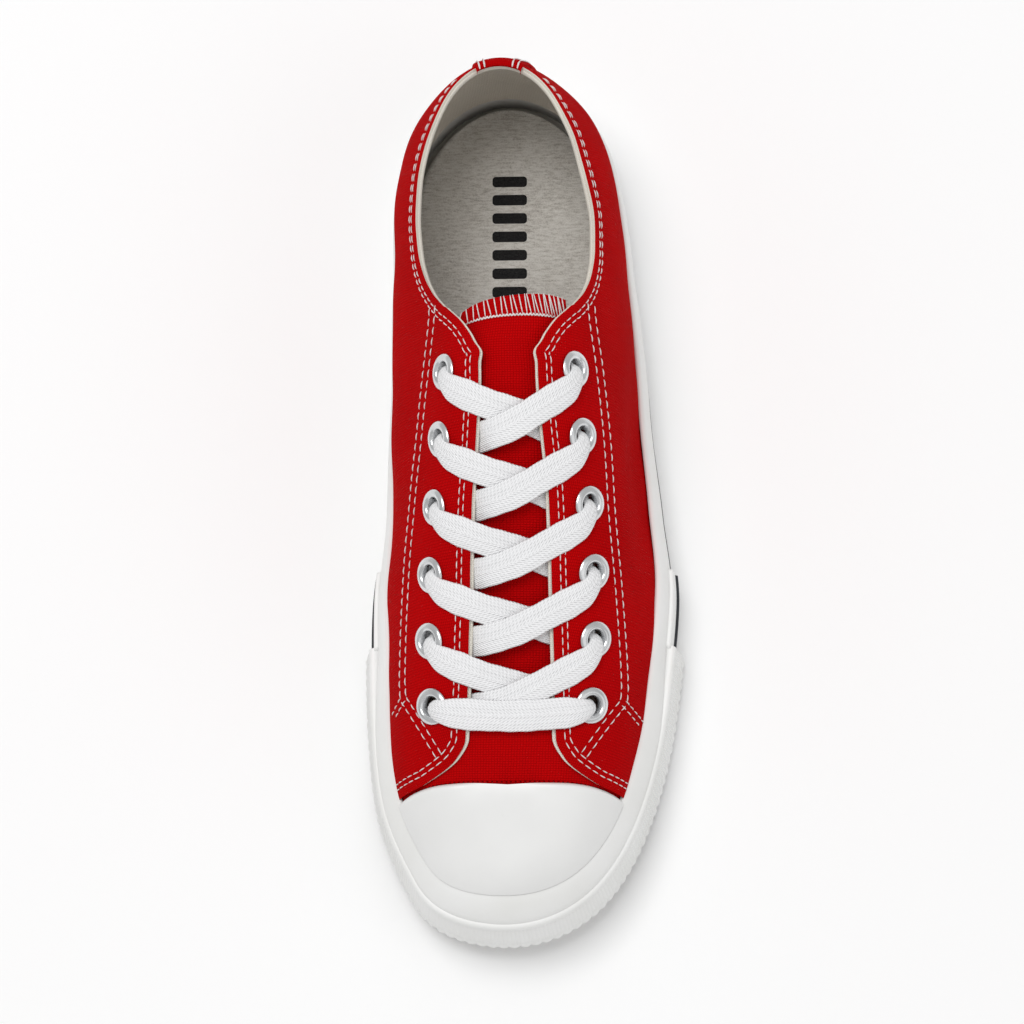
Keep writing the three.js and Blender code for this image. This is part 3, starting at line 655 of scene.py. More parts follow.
def rubber_material(name, color, dirt, roughness=0.45):
    graph = Graph(name, roughness)
    blotch = graph.noise(35.0, 5.0)
    tint = graph.ramp(blotch, [(0.35, dirt), (0.65, color)])
    rough = graph.add(graph.times(blotch, 0.18), roughness - 0.1)
    relief = graph.add(graph.times(blotch, 1.5), graph.times(graph.noise(900.0, 2.0), 0.25))
    return graph.finish(tint, relief, 0.00006, 0.6, rough)


def lace_material():
    """A herringbone of yarns on both sides of the braid's middle."""
    graph = Graph("lace_cotton", 0.95, 0.1, specular=0.1)
    u, v = graph.cloth_uv()
    away = graph.size(v)
    yarn = graph.wave(graph.add(graph.over(u, 1.15), graph.over(away, 0.75)))
    strand = graph.wave(graph.over(away, 0.95))
    braid = graph.math("MULTIPLY_ADD", yarn, 0.22, graph.math("MULTIPLY_ADD", strand, 0.12, 0.5))
    relief = graph.add(braid, graph.times(graph.noise(900.0, 3.0), 0.5))
    # The colour follows the braid's relief: painted shade in the grooves between the yarns and painted
    # highlight on their tops.
    color = graph.ramp(relief, [(0.3, (0.76, 0.76, 0.77)), (0.75, (0.92, 0.92, 0.93))])
    return graph.finish(color, relief, 0.0003)


def print_mask(graph):
    """1 on a row of plain rounded bars along the middle of the heel, 0 elsewhere."""
    x, y, _ = graph.node("ShaderNodeSeparateXYZ", {0: graph.place()}).outputs
    across = graph.size(graph.minus(x, PRINT_X * MM))
    rows = graph.over(graph.minus(y, (PRINT_Y - PRINT_BARS * PRINT_PITCH) * MM), PRINT_PITCH * MM)
    along = graph.times(graph.size(graph.minus(graph.math("FRACT", rows), 0.5)), PRINT_PITCH * MM)
    squares = []
    for distance, size in ((across, PRINT_LENGTH), (along, PRINT_WIDTH)):
        past = graph.math("MAXIMUM", graph.minus(distance, (size / 2 - PRINT_ROUND) * MM), 0.0)
        squares.append(graph.math("POWER", past, 2.0))
    inside = graph.math("LESS_THAN", graph.math("SQRT", graph.add(*squares)), PRINT_ROUND * MM)
    middle = graph.size(graph.minus(rows, PRINT_BARS / 2))
    return graph.times(inside, graph.math("LESS_THAN", middle, PRINT_BARS / 2))


def insole_material():
    """Heathered cloth whose slubs lie across the shoe, with the dark bars."""
    graph = Graph("insole_cloth", 0.95, specular=0.1)
    stretch = graph.node("ShaderNodeMapping", {"Vector": graph.place(), "Scale": (0.45, 2.0, 1.0)})
    slub = graph.noise(700.0, 4.0, stretch.outputs[0], 0.6)
    fine = graph.noise(2600.0, 2.0)
    mix = graph.add(graph.times(slub, 0.5), graph.times(fine, 0.35))
    mix = graph.add(mix, graph.times(graph.noise(60.0, 4.0), 0.15))
    stops = [(0.36, (0.38, 0.35, 0.315)), (0.5, (0.62, 0.595, 0.55)), (0.64, (0.74, 0.72, 0.68))]
    faded = graph.times(print_mask(graph), graph.math("MULTIPLY_ADD", fine, 0.1, 0.93))
    color = graph.mix(faded, graph.ramp(mix, stops), (0.008, 0.008, 0.009))
    return graph.finish(color, mix, 0.0002)


def metal_material():
    graph = Graph("eyelet_metal", 0.22, metallic=1.0)
    wear = graph.noise(220.0, 4.0)
    color = graph.ramp(wear, [(0.3, (0.62, 0.63, 0.64)), (0.7, (0.80, 0.81, 0.82))])
    return graph.finish(color, wear, 0.00003, 0.5, graph.add(graph.times(wear, 0.2), 0.14))


def thread_material():
    graph = Graph("white_thread", 0.7, 0.3)
    twist = graph.noise(1800.0, 2.0)
    color = graph.ramp(twist, [(0.3, (0.62, 0.55, 0.54)), (0.7, (0.86, 0.83, 0.82))])
    return graph.finish(color, twist, 0.0001)


# Each cloth's colours for the weave's hollows, its plain face and its thread crowns; the darker hollows and
# lighter crowns are painted shade and painted highlight.
RED = canvas_material("red_canvas", (0.42, 0.001, 0.002), (0.53, 0.001, 0.002), (0.58, 0.002, 0.003))
DARK_RED = canvas_material("dark_red_thread", (0.10, 0.0, 0.001), (0.16, 0.001, 0.002), (0.20, 0.001, 0.002))
LINING = canvas_material(
    "cream_lining", (0.70, 0.64, 0.54), (0.92, 0.87, 0.78), (0.96, 0.92, 0.84), 0.55, 0.00015
)
RUBBER = rubber_material("white_rubber", (0.87, 0.87, 0.86), (0.82, 0.82, 0.80))
CAP_RUBBER = rubber_material("cap_rubber", (0.84, 0.84, 0.83), (0.80, 0.80, 0.79), 0.38)
SOLE_RUBBER = rubber_material("sole_rubber", (0.66, 0.64, 0.58), (0.50, 0.48, 0.43), 0.6)
STRIPE = rubber_material("dark_stripe", (0.035, 0.038, 0.045), (0.02, 0.02, 0.025), 0.5)
COTTON = lace_material()
INSOLE = insole_material()
METAL = metal_material()
THREAD = thread_material()


# Upper: the quarters with their real edges, and the vamp under their front edges

def edge_margin(point):
    """Distance inside the collar's and the throat's edges, rounded where they meet."""
    place = place_at_y(point[..., 1])
    beside = np.abs(point[..., 0] - axis_x(place)) - opening_share(place) * BALL_WIDTH
    below = collar_share(place) * COLLAR_HEIGHT - point[..., 2]
    below = np.where(place < COLLAR[-1][0], below, FAR_INSIDE)
    beside = np.where(place > OPENING[0][0], beside, FAR_INSIDE)
    both = sum(np.exp(-np.clip(edge, -40, FAR_INSIDE) / EDGE_BLEND) for edge in (below, beside))
    corner = CORNER_CUT * np.exp(-(((below - beside) / CORNER_SPREAD) ** 2))
    return corner - EDGE_BLEND * np.log(both)


def rise_of(angle, place):
    return np.sin(np.clip(angle, 0, np.pi / 2)) ** (2 / LAST.fullness(place))


def angle_of(rise, place):
    return np.arcsin(np.clip(rise, 0, 1) ** (LAST.fullness(place) / 2))


def low_angle(theta, drop):
    """The angle of the line that lies a little below the foxing's top."""
    place = place_of(theta)
    return angle_of(rise_at(FOXING_HEIGHT - drop + spring(place), place), place)


def edge_angle(theta, side):
    """The angle at which the quarter ends, for each station."""
    place = place_of(theta)
    low = low_angle(theta, CLOTH_TUCK)
    samples = low[:, None] + (np.pi / 2 - low)[:, None] * np.linspace(0, 1, 400)[None, :]
    points = section(theta[:, None], side[:, None], rise_of(samples, place[:, None]))
    margin = edge_margin(points)
    outside = margin < 0
    first = np.argmax(outside, axis=1)
    first = np.where(outside.any(axis=1), np.maximum(first, 1), samples.shape[1] - 1)
    k = np.arange(len(theta))
    before, after = margin[k, first - 1], margin[k, first]
    share = np.clip(before / np.maximum(before - after, 1e-9), 0, 1)
    return samples[k, first - 1] + (samples[k, first] - samples[k, first - 1]) * share


def front_place(side):
    """The place at which the quarter's front edge reaches its lower edge."""
    places = np.linspace(0.84, 0.90, 400)
    theta = theta_of(places)
    margin = edge_margin(section(theta, side, rise_of(low_angle(theta, CLOTH_TUCK), places)))
    return places[np.argmax(margin < 0.3) - 1]


def quarter_stations():
    """Signed angles from the front of the inner quarter round the heel to the outer one."""
    halves = []
    for side in (-1, 1):
        parts = [
            np.linspace(0, theta_of(0.30), 70)[:-1],
            theta_of(np.linspace(0.30, 0.42, 90))[:-1],
            theta_of(np.linspace(0.42, 0.80, 110))[:-1],
            theta_of(np.linspace(0.80, front_place(side), 70)),
        ]
        halves.append(np.concatenate(parts))
    return np.concatenate([-halves[0][:0:-1], halves[1]])


EYELETS = []
for row in range(EYELET_ROWS):
    for side_sign in (-1, 1):
        eyelet_y = along_y(EYELET_FIRST) - row * EYELET_PITCH
        eyelet_x = axis_x(place_at_y(eyelet_y)) + side_sign * EYELET_HALF[row] * BALL_WIDTH
        EYELETS.append((row, side_sign, float(eyelet_x), float(eyelet_y)))


def open_holes(points):
    """Pushes the cloth's points out of each eyelet's bore and says which are outside it."""
    clear = np.ones(points.shape[:2], bool)
    rim = EYELET_BORE / 2 + EYELET_WALL
    reach_out = rim + FLANGE_WIDTH
    for _, _, x, y in EYELETS:
        centre = top_at(x, y)
        normal = top_normal(x, y)
        offset = points - centre
        flat = offset - (offset @ normal)[..., None] * normal
        radius = np.linalg.norm(flat, axis=-1)
        near = (radius < reach_out) & (np.abs(offset @ normal) < HOLE_DEPTH)
        moved = rim + radius * (reach_out - rim) / reach_out
        points[near] += (unit(flat) * (moved - radius)[..., None])[near]
        clear &= ~((radius < HOLE_SEED) & near)
    return clear


def wall_at(place):
    """Thicker round the padded collar, thin over the vamp."""
    collar = COLLAR_PAD * np.clip((0.34 - place) / 0.06, 0, 1)
    return CANVAS_WALL + collar - VAMP_THINNING * np.clip((place - 0.70) / 0.08, 0, 1)


EDGE_PROFILE = [
    # distance past the edge in mm, depth as a share of the wall
    (-0.50, 0.00), (-0.22, 0.05), (-0.05, 0.16), (0.0, 0.32), (-0.06, 0.46), (-0.10, 0.50),
    (0.45, 0.50), (0.75, 0.58), (0.85, 0.72), (0.78, 0.86), (0.55, 0.97), (0.20, 1.00),
]


def quarters():
    """Cloth up the outside, round the collar's and the throat's edges and down the lining."""
    signed = quarter_stations()
    theta, side = np.abs(signed), np.where(signed < 0, -1, 1)
    place = place_of(theta)
    low, high = low_angle(theta, CLOTH_TUCK), edge_angle(theta, side)
    samples = low[:, None] + (high - low)[:, None] * np.linspace(0, 1, 60)
    length = run_lengths(section(theta[:, None], side[:, None], rise_of(samples, place[:, None])))[:, -1]
    per_mm = (high - low) / np.maximum(length, 0.5)
    wall = wall_at(place)
    up = np.linspace(0, 1, 56)[:-1]
    start = high + EDGE_PROFILE[0][0] * per_mm
    end = high - (0.2 + EDGE_PROFILE[0][0]) * per_mm
    angles = [low + (start - low) * t for t in up]
    angles += [high + distance * per_mm for distance, _ in EDGE_PROFILE]
    angles += [low + (end - low) * t for t in np.linspace(1, 0, 26)[1:]]
    outs = [-wall * depth for _, depth in EDGE_PROFILE]
    outs = [0 * wall] * len(up) + outs + [-wall] * (len(angles) - len(up) - len(outs))
    rise = rise_of(np.stack(angles, 1), place[:, None])
    points = cloth(theta[:, None], side[:, None], rise, np.stack(outs, 1))
    uv = np.stack(np.broadcast_arrays(run_lengths(points[:, 10])[:, None], run_lengths(points)), -1)
    clear = open_holes(points)
    keep = clear[:-1, :-1] & clear[1:, :-1] & clear[1:, 1:] & clear[:-1, 1:]
    keep = np.pad(keep, ((0, 1), (0, 1)), constant_values=True)
    slots = np.zeros(points.shape[1] - 1, int)
    slots[len(up) + 2:] = 1
    return grid_mesh("upper_quarters", points, [RED, LINING], uv, slots, keep=keep)


def mirrored(theta, rise, out):
    """Both halves of the last, from its inner edge over the ridge to its outer edge."""
    inner, outer = (section(theta, side, rise, out) for side in (-1, 1))
    return np.concatenate([inner, outer[:, -2::-1]], 1)


def vamp():
    """Cloth in front of the throat, whose rear end dips under the quarters' edges."""
    stations = theta_of(np.concatenate([[0.793, 0.793, 0.7935, 0.795], np.linspace(0.80, 0.90, 30)]))
    stations = np.concatenate([stations, np.linspace(stations[-1], np.pi, 26)[1:]])[:, None]
    low = low_angle(stations, CLOTH_TUCK)
    middle = 45
    rise = rise_of(low + (np.pi / 2 - low) * np.linspace(0, 1, middle + 1), place_of(stations))
    depth = np.full(stations.shape, -VAMP_STEP)
    depth[:3, 0] -= [0.6, 0.25, 0.05]
    outer = mirrored(stations, rise, depth)
    inner = mirrored(stations, rise, np.minimum(depth, -VAMP_STEP - 1.0))
    inner[0] = outer[0]
    points = np.concatenate([outer[:0:-1], inner], 0)
    across = run_lengths(points)
    uv = np.stack([across - across[:, middle:middle + 1], points[:, :, 1]], -1)
    slots = np.zeros((len(points) - 1, points.shape[1] - 1), int)
    slots[len(stations):] = 1
    return grid_mesh("upper_vamp", points, [RED, LINING], uv, slots)


# Toe cap: a shell whose rear edge lies on the vamp

def toe_cap():
    share = np.linspace(0, 1, 60)
    top_out = -VAMP_STEP + 2.5 * CLEARANCE + CAP_WALL
    per_radian = 62.0

    def shell(theta, side, out):
        place = place_of(theta)
        start = angle_of(rise_at(FOXING_HEIGHT + 0.2 + spring(place), place, out), place)
        return section(theta, side, rise_of(start + (np.pi / 2 - start) * share, place), out)

    def rear_theta(side):
        near = np.full(share.shape, theta_of(CAP_REAR - 0.1))
        far = np.full(share.shape, np.pi)
        for _ in range(30):
            middle = (near + far) / 2
            point = shell(middle, side, top_out)
            away = np.abs(point[..., 0] - axis_x(CAP_REAR)) / (CAP_SWEEP_AT * BALL_WIDTH)
            rear_y = along_y(CAP_REAR + CAP_SWEEP * np.minimum(away, 1.2) ** 4)
            behind = point[..., 1] > rear_y
            near = np.where(behind, middle, near)
            far = np.where(behind, far, middle)
        return near

    edge = [(0.0, -1.75), (0.0, -1.2), (0.05, -0.7), (0.25, -0.25), (0.65, -0.04), (1.3, 0.0)]
    halves = []
    for side in (-1, 1):
        start = rear_theta(side)
        begin = start + edge[-1][0] / per_radian
        rows = [shell(start + ahead / per_radian, side, top_out + depth) for ahead, depth in edge]
        rows += [shell(begin + (np.pi - begin) * t, side, top_out) for t in np.linspace(0, 1, 44)[1:]]
        halves.append(np.stack(rows, 0))
    points = np.concatenate([halves[0], halves[1][:, -2::-1]], 1)
    return grid_mesh("toe_cap_shell", rounded_top(points), [CAP_RUBBER])


def rounded_top(points):
    """Blends a dome, fitted to a ring round the front of the last's ridge, into the flat spot there."""
    centre = section(np.array(np.pi), 1, np.array(1.0))
    offset = (points[..., :2] - centre[:2]) / CAP_DOME
    distance = np.linalg.norm(offset, axis=-1)
    u, v = offset[..., 0], offset[..., 1]
    powers = [(a, b) for a in range(4) for b in range(4 - a)] + [(4, 0), (2, 2), (0, 4)]
    terms = np.stack([u**a * v**b for a, b in powers], -1)
    around = (distance > 0.55) & (distance < 1.05)
    shares, *_ = np.linalg.lstsq(terms[around], points[around][:, 2], rcond=None)
    points[..., 2] += ease((0.9 - distance) / 0.4) * (terms @ shares - points[..., 2])
    return points


# Rubber bands round the side

def round_path(count):
    """Angles and sides round the whole last, at even spacing along its edge."""
    theta = np.linspace(0, np.pi, 2000)
    parts = []
    for side in (1, -1):
        lengths = run_lengths(side_at(theta, side, base_z(place_of(theta)), FOXING_OUT))
        parts.append(np.interp(np.linspace(0, lengths[-1], count // 2 + 1), lengths, theta))
    return np.concatenate([parts[0][:-1], parts[1][:0:-1]]), np.repeat([1.0, -1.0], count // 2)


def toe_path(start, spacing, out):
    """Angles and sides round the toe alone, from place to place, and the way along them."""
    run = np.linspace(theta_of(start), np.pi, 3000)
    angles = np.concatenate([run, run[::-1]])
    outer = run_lengths(side_at(run, 1, base_z(place_of(run)), out))
    inner = run_lengths(side_at(run[::-1], -1, base_z(place_of(run[::-1])), out))
    lengths = np.concatenate([outer, outer[-1] + inner])
    at = np.linspace(0, lengths[-1], int(lengths[-1] / spacing) + 1)
    return np.interp(at, lengths, angles), np.where(at <= outer[-1], 1.0, -1.0), at


def stripe_profile(outer, centre, half, proud):
    """Outer face of a band from its foot to its dark stripe. Rows are out, z and slot."""
    low = BAND_LIFT
    return [
        (outer - 0.9, low, 0), (outer - 0.35, low + 0.12, 0), (outer - 0.05, low + 0.6, 0),
        (outer, low + 1.4, 0), (outer, (low + centre) / 2, 0), (outer, centre - half - 0.1, 0),
        (outer + proud, centre - half, 1), (outer + proud, centre, 1), (outer + proud, centre + half, 1),
        (outer, centre + half + 0.1, 0),
    ]


def band_mesh(name, theta, side, rows, inner, drop=0.0, swell=0.0, **ends):
    """A band from its outer face's rows. Drop lowers its top and swell widens its foot."""
    outs, heights, kinds = (np.array(column) for column in zip(*rows))
    heights = heights - np.reshape(drop, (-1, 1)) * np.clip((heights - 14.0) / BAND_BLEND, 0, 1)
    outs = outs + np.reshape(swell, (-1, 1)) * np.clip((FOXING_HEIGHT - heights) / BAND_BLEND, 0, 1)
    z = heights + spring(place_of(theta))[:, None]
    face = side_at(theta[:, None], side[:, None], z, outs)
    back = side_at(theta[:, None], side[:, None], z[:, ::-3], inner)
    slots = np.concatenate([kinds, np.zeros(back.shape[1], int)])
    points = np.concatenate([face, back], 1)
    return grid_mesh(name, points, [RUBBER, STRIPE], slots=slots, loop_v=True, **ends)


def foxing():
    theta, side = round_path(560)
    bevel = [
        (0.0, 19.0), (0.0, 21.5), (0.25, 23.2), (0.7, 25.0), (1.2, 26.6), (1.5, 27.3), (1.85, 27.8),
        (2.4, FOXING_HEIGHT),
    ]
    rows = stripe_profile(FOXING_OUT, STRIPE_Z, 0.55, 0.2)
    rows += [(FOXING_OUT - inset, z, 0) for inset, z in bevel]
    swell = 1.5 * ease((place_of(theta) - BUMPER_FROM) / 0.12)
    return band_mesh("foxing_band", theta, side, rows, -0.6, swell=swell, loop_u=True)


def forefoot_strip():
    theta, side, _ = toe_path(STRIP_FROM, 0.8, STRIP_OUT)
    edge = 0.6
    rise = STRIP_HEIGHT - STRIP_STRIPE_Z
    rows = stripe_profile(STRIP_OUT, STRIP_STRIPE_Z, 1.0, 0.8)
    rows += [(STRIP_OUT, STRIP_STRIPE_Z + rise * share, 0) for share in (0.35, 0.7)]
    for inset, below in ((0, 1), (0.12, 0.45), (0.5, 0.08), (1, 0)):
        rows.append((STRIP_OUT - inset * edge, STRIP_HEIGHT - below * edge, 0))
    drop = 5.0 * np.clip((place_of(theta) - BUMPER_FROM - 0.004) / 0.004, 0, 1)
    return band_mesh("forefoot_band", theta, side, rows, FOXING_OUT - BAND_INSIDE, drop, caps=True)


def toe_bumper():
    """The outermost band: ribs between a scalloped foot and a smooth bead, leaning out at the foot."""
    theta, side, at = toe_path(BUMPER_FROM, RIB_PITCH / 6, BUMPER_OUT)
    place = place_of(theta)
    front = np.clip((place - 0.86) / 0.1, 0, 1)
    rib = (0.5 - 0.5 * np.cos(2 * np.pi * at / RIB_PITCH)) * (0.8 - 0.6 * front)
    scallop = np.abs(np.sin(np.pi * at / SCALLOP_PITCH))
    low, bead = BAND_LIFT, BUMPER_HEIGHT - 2.6
    rows = np.array([
        # height, out, share of the ribs, share of the scallops
        (low, -0.9, 0, 0), (low + 0.1, -0.35, 0, 0.2), (low + 0.5, -0.1, 0, 0.45),
        (low + 1.2, 0.0, 0, 0.5), (low + 3.2, 0.0, 0, 0.5), (low + 4.2, -0.05, 0.1, 0.25),
        (low + 4.8, -0.1, 0.5, 0), (low + 6.0, 0.0, 0.5, 0), ((low + bead) / 2, 0.0, 0.5, 0),
        (bead - 1.6, 0.0, 0.5, 0), (bead - 0.5, -0.1, 0.45, 0), (bead, -0.15, 0.1, 0),
        (bead + 0.3, 0.05, 0, 0), (bead + 0.9, 0.25, 0, 0), (bead + 1.5, 0.25, 0, 0),
        (bead + 2.1, 0.1, 0, 0), (bead + 2.5, -0.2, 0, 0), (BUMPER_HEIGHT, -0.7, 0, 0),
    ])
    height, out, ribbed, scalloped = rows.T
    z = height + spring(place)[:, None]
    lean = SIDE_LEAN + (TOE_LEAN - SIDE_LEAN) * front
    outs = STRIP_OUT + 1.2 + out + ribbed * rib[:, None] + scalloped * scallop[:, None]
    outs = outs + lean[:, None] * np.clip((bead - height) / (bead - 3), 0, 1)
    face = side_at(theta[:, None], side[:, None], z, outs)
    back = side_at(theta[:, None], side[:, None], z[:, ::-5], FOXING_OUT - BAND_INSIDE)
    return grid_mesh("toe_bumper_band", np.concatenate([face, back], 1), [RUBBER], loop_v=True, caps=True)


# Insole: a cloth-covered sock, a little cupped and crowned

def insole():
    theta = np.linspace(0, np.pi, 160)
    across = np.linspace(-1, 1, 61)[None, :]
    low = SOLE_THICKNESS + CLEARANCE + spring(place_of(theta))
    inner, outer = (side_at(theta, side, low + 4.0, -INSOLE_INSET)[:, None] for side in (-1, 1))
    low = low[:, None]
    points = inner * (1 - across[..., None]) / 2 + outer * (1 + across[..., None]) / 2
    roll = 1.6 * np.clip((np.abs(across) - 0.94) / 0.06, 0, 1) ** 2
    ripple = 0.12 * np.sin(points[..., 1] / 9.0 + 1.2) * np.sin(points[..., 0] / 11.0)
    crown = INSOLE_CROWN * (1 - across**2) * np.sin(theta)[:, None]
    points[..., 2] = low + INSOLE_THICKNESS + crown + ripple - roll
    bottom = points[:, ::-1].copy()
    bottom[..., 2] = low + 0.1
    return grid_mesh("insole_sock", np.concatenate([points, bottom], 1), [INSOLE], loop_v=True)


# Tongue: a curved tab with an overlocked top edge

def tongue_point(place, u, depth):
    """A point of the tongue: place along it, u across it from -1 to 1, depth from the last's surface."""
    half = tongue_share(place) * BALL_WIDTH
    free = np.clip((TONGUE_FREE - place) / (TONGUE_FREE - TONGUE[0][0]), 0, 1)
    point = top_at(axis_x(place) + u * half, along_y(place) + 0 * u, depth)
    point[..., 0] += TONGUE_OFFSET * free
    point[..., 1] += (TONGUE_GROWTH + (TONGUE_SKEW - TONGUE_GROWTH) * u - 1.2 * np.abs(u) ** 4) * free
    point[..., 2] += 0.5 * free**2
    return point


def tongue_depth(place):
    """Seated on the vamp at the front, sunk further under the facings behind it."""
    seated, sunk = -3.0, -4.4
    return seated + (sunk - seated) * ease((0.8 - place) / 0.06)


def tongue():
    ends = [0.3302, 0.3306, 0.332, 0.335]
    place = np.concatenate([ends[:1], ends[:3], np.linspace(ends[3], TONGUE[-1][0], 130)])
    across = np.concatenate([[-1, -0.995, -0.98], np.linspace(-0.95, 0.95, 49), [0.98, 0.995, 1]])
    p, u = np.meshgrid(place, across, indexing="ij")
    depth = tongue_depth(p) + 0.12 * np.sin(p * 90) * np.sin(3 * u + p * 20)
    side_tuck = np.interp(np.abs(u), [0, 0.95, 0.98, 0.995, 1], [0, 0, 0.1, 0.4, 1.0])
    end_tuck = np.interp(p, ends, [1.0, 0.4, 0.1, 0.0])
    end_tuck[1] = 0.75
    tuck = np.maximum(side_tuck, end_tuck) * TONGUE_WALL / 2
    top = tongue_point(p, u, depth - tuck)
    under = tongue_point(p, u, depth - TONGUE_WALL + tuck)[:, ::-1]
    rows = np.concatenate([u * 20, u[:, ::-1] * 20 + 80, u[:, :1] * 20], 1)
    uv = np.stack(np.broadcast_arrays(rows, -p[:, :1] * LAST_LENGTH), -1)
    return grid_mesh("tongue_tab", np.concatenate([top, under], 1), [RED], uv, loop_v=True)


def overlock():
    """Zigzag threads over the tongue's top edge, closer on its outer side, and their chain line."""
    groups = []
    top = TONGUE[0][0]
    up = (0.0, 0.3, 1.0)
    for i, share in enumerate(np.linspace(0, 1, 25)):
        spot = -0.88 + 1.84 * (share + 0.14 * np.sin(np.pi * share))
        lean = -0.15 + 0.10 * share + 0.016 * ((i * 7) % 5 - 2)
        t = np.linspace(0, 1, 9)
        place = top + OVERLOCK_BAND * (1 - t)
        u = np.clip(spot + 0.9 * lean * t, -0.985, 0.985)
        path = tongue_point(place, u, tongue_depth(place) + 0.3)
        path[-1, 2] -= 0.8
        path[0, 2] -= 0.35
        groups.append(thread_along(path, up, 0.18, (0.5, 1, 1, 1, 1, 0.5)))
    u = np.linspace(-0.95, 0.95, 240)
    chain = top + OVERLOCK_BAND + 0.0018 * np.abs(np.sin(np.pi * (u + 1) * 17))
    line = tongue_point(chain, u, tongue_depth(chain) + 0.28)
    groups.append(thread_along(line, up, 0.26, (0.2, 1, 1, 1, 1, 0.2)))
    return tubes_mesh("tongue_overlock", groups, THREAD)


# Heel strip: a folded canvas band up the back seam and over the collar's edge

def heel_strip():
    across = np.linspace(-1, 1, 41)
    theta = np.abs(across) * np.arcsin(HEEL_STRIP_WIDTH / 2 / half_breadth(0.0, 1))
    side = np.where(across < 0, -1.0, 1.0)
    thick = np.interp(np.abs(across), [0, 0.93, 0.985, 1], [TAPE_WALL, TAPE_WALL, 0.8, 0.1])
    heights = np.linspace(FOXING_HEIGHT - 3, COLLAR_HEIGHT - 1.0, 40)
    fold = [(0.75, -0.3), (0.35, 0.45), (-0.4, 0.85), (-1.2, 0.8), (-1.7, 0.3), (-1.8, -0.8)]
    rows = [side_at(theta, side, z, thick + 0.08 * np.sin(z / 3.1)) for z in heights]
    rows += [side_at(theta, side, COLLAR_HEIGHT + lift, thick - TAPE_WALL + out) for out, lift in fold]
    length = np.concatenate([heights, COLLAR_HEIGHT + np.arange(len(fold)) * 0.8])
    uv = np.stack(np.broadcast_arrays(across * HEEL_STRIP_WIDTH / 2, length[:, None]), -1)
    return grid_mesh("heel_tape", np.stack(rows, 0), [RED], uv)


# Stitch lines

def plan_line(points, count):
    """A smooth line on the cloth through places in the plan."""
    lengths = run_lengths(points)
    at = np.linspace(0, lengths[-1], count)
    return cloth_at(*(smooth_curve(np.stack([lengths, column], 1))(at) for column in points.T))


def shifted(points, distance):
    """The same places moved sideways, square to the line."""
    tangent = np.gradient(points, axis=0)
    return points + distance * unit(np.stack([tangent[:, 1], -tangent[:, 0]], 1))


def inside_edge(side, start, end, distance):
    """A line on the cloth at an even distance inside the quarter's edge, down to the foxing."""
    parts = np.linspace(start, 0.84, 500)[:-1], np.linspace(0.84, end, 500)
    theta = theta_of(np.concatenate(parts))
    angle = edge_angle(theta, np.full(theta.shape, side))
    foot = low_angle(theta[-1], 0.5)
    angle = np.concatenate([angle, np.linspace(angle[-1], foot, 80)[1:]])
    theta = np.concatenate([theta, np.full(79, theta[-1])])
    at = lambda t, a: section(t, side, rise_of(a, place_of(t)))
    edge = at(theta, angle)
    up = form_normal(theta, side, rise_of(angle, place_of(theta)))
    target = edge - unit(np.cross(unit(np.gradient(edge, axis=0)), up)) * side * distance
    nudge = 0.002
    for _ in range(6):
        by_theta = (at(theta + nudge, angle) - at(theta - nudge, angle)) / (2 * nudge)
        by_angle = (at(theta, angle + nudge) - at(theta, angle - nudge)) / (2 * nudge)
        step = np.linalg.pinv(np.stack([by_theta, by_angle], -1)) @ (target - at(theta, angle))[..., None]
        step = np.clip(step[..., 0], -0.1, 0.1)
        theta = theta + step[:, 0]
        angle = np.clip(angle + step[:, 1], 0.01, np.pi / 2 - 0.01)
    rise = rise_of(angle, place_of(theta))
    return cloth(theta, side, rise), form_normal(theta, side, rise)


# Places in the plan, with x from the last's own reference line
FACING_STITCH = {
    -1: [
        (-24.3, 47.6), (-24.4, 45.5), (-26.5, 29.1), (-29.0, 9.8), (-31.2, -6.6), (-33.7, -32.1),
        (-34.9, -58.1), (-34.6, -63.8),
    ],
    1: [
        (22.2, 48.2), (22.3, 46.1), (24.5, 28.9), (26.7, 6.1), (27.6, -11.0), (29.6, -36.3),
        (30.8, -61.7), (30.4, -65.5),
    ],
}
CORNER_STITCH = {
    -1: [[(-34.6, -63.8), (-29.0, -73.1), (-23.4, -82.4)], [(-34.6, -63.8), (-38.0, -67.8)]],
    1: [[(30.4, -65.5), (24.5, -73.9), (18.7, -82.3)], [(30.4, -65.5), (35.5, -70.0)]],
}


def all_stitches():
    """Double rows along the facings, the edges and the heel tape, and the tape's tacks."""
    groups = []
    for side in (-1, 1):
        lines = [(FACING_STITCH[side], 160)] + [(corner, 60) for corner in CORNER_STITCH[side]]
        for gap in (-FACING_GAP, FACING_GAP):
            for line, count in lines:
                line = shifted(np.array(line) + [AXIS_SHIFT, 0], gap)
                groups.append(stitches(*plan_line(line, count)))
        for distance in EDGE_ROWS:
            groups.append(stitches(*inside_edge(side, 0.026, front_place(side) - 0.0004, distance)))
        for inset in TAPE_ROWS:
            theta = np.arcsin((HEEL_STRIP_WIDTH / 2 - inset) / half_breadth(0.0, 1))
            z = np.linspace(FOXING_HEIGHT + 1, COLLAR_HEIGHT - 0.6, 80)
            line = side_at(theta, side, z, TAPE_WALL + 0.1)
            groups.append(stitches(line, form_normal(theta, side, rise_at(z, 0.0))))
            tack = [(1.15, -0.7), (0.6, 0.75), (-0.4, 1.15), (-1.3, 0.95)]
            path = np.stack([side_at(theta, side, COLLAR_HEIGHT + lift, out) for out, lift in tack])
            groups.append(thread_along(path, (0.0, 0.6, 0.8), 0.28, (0.6, 1, 1, 0.6)))
    return tubes_mesh("stitching", groups, THREAD)


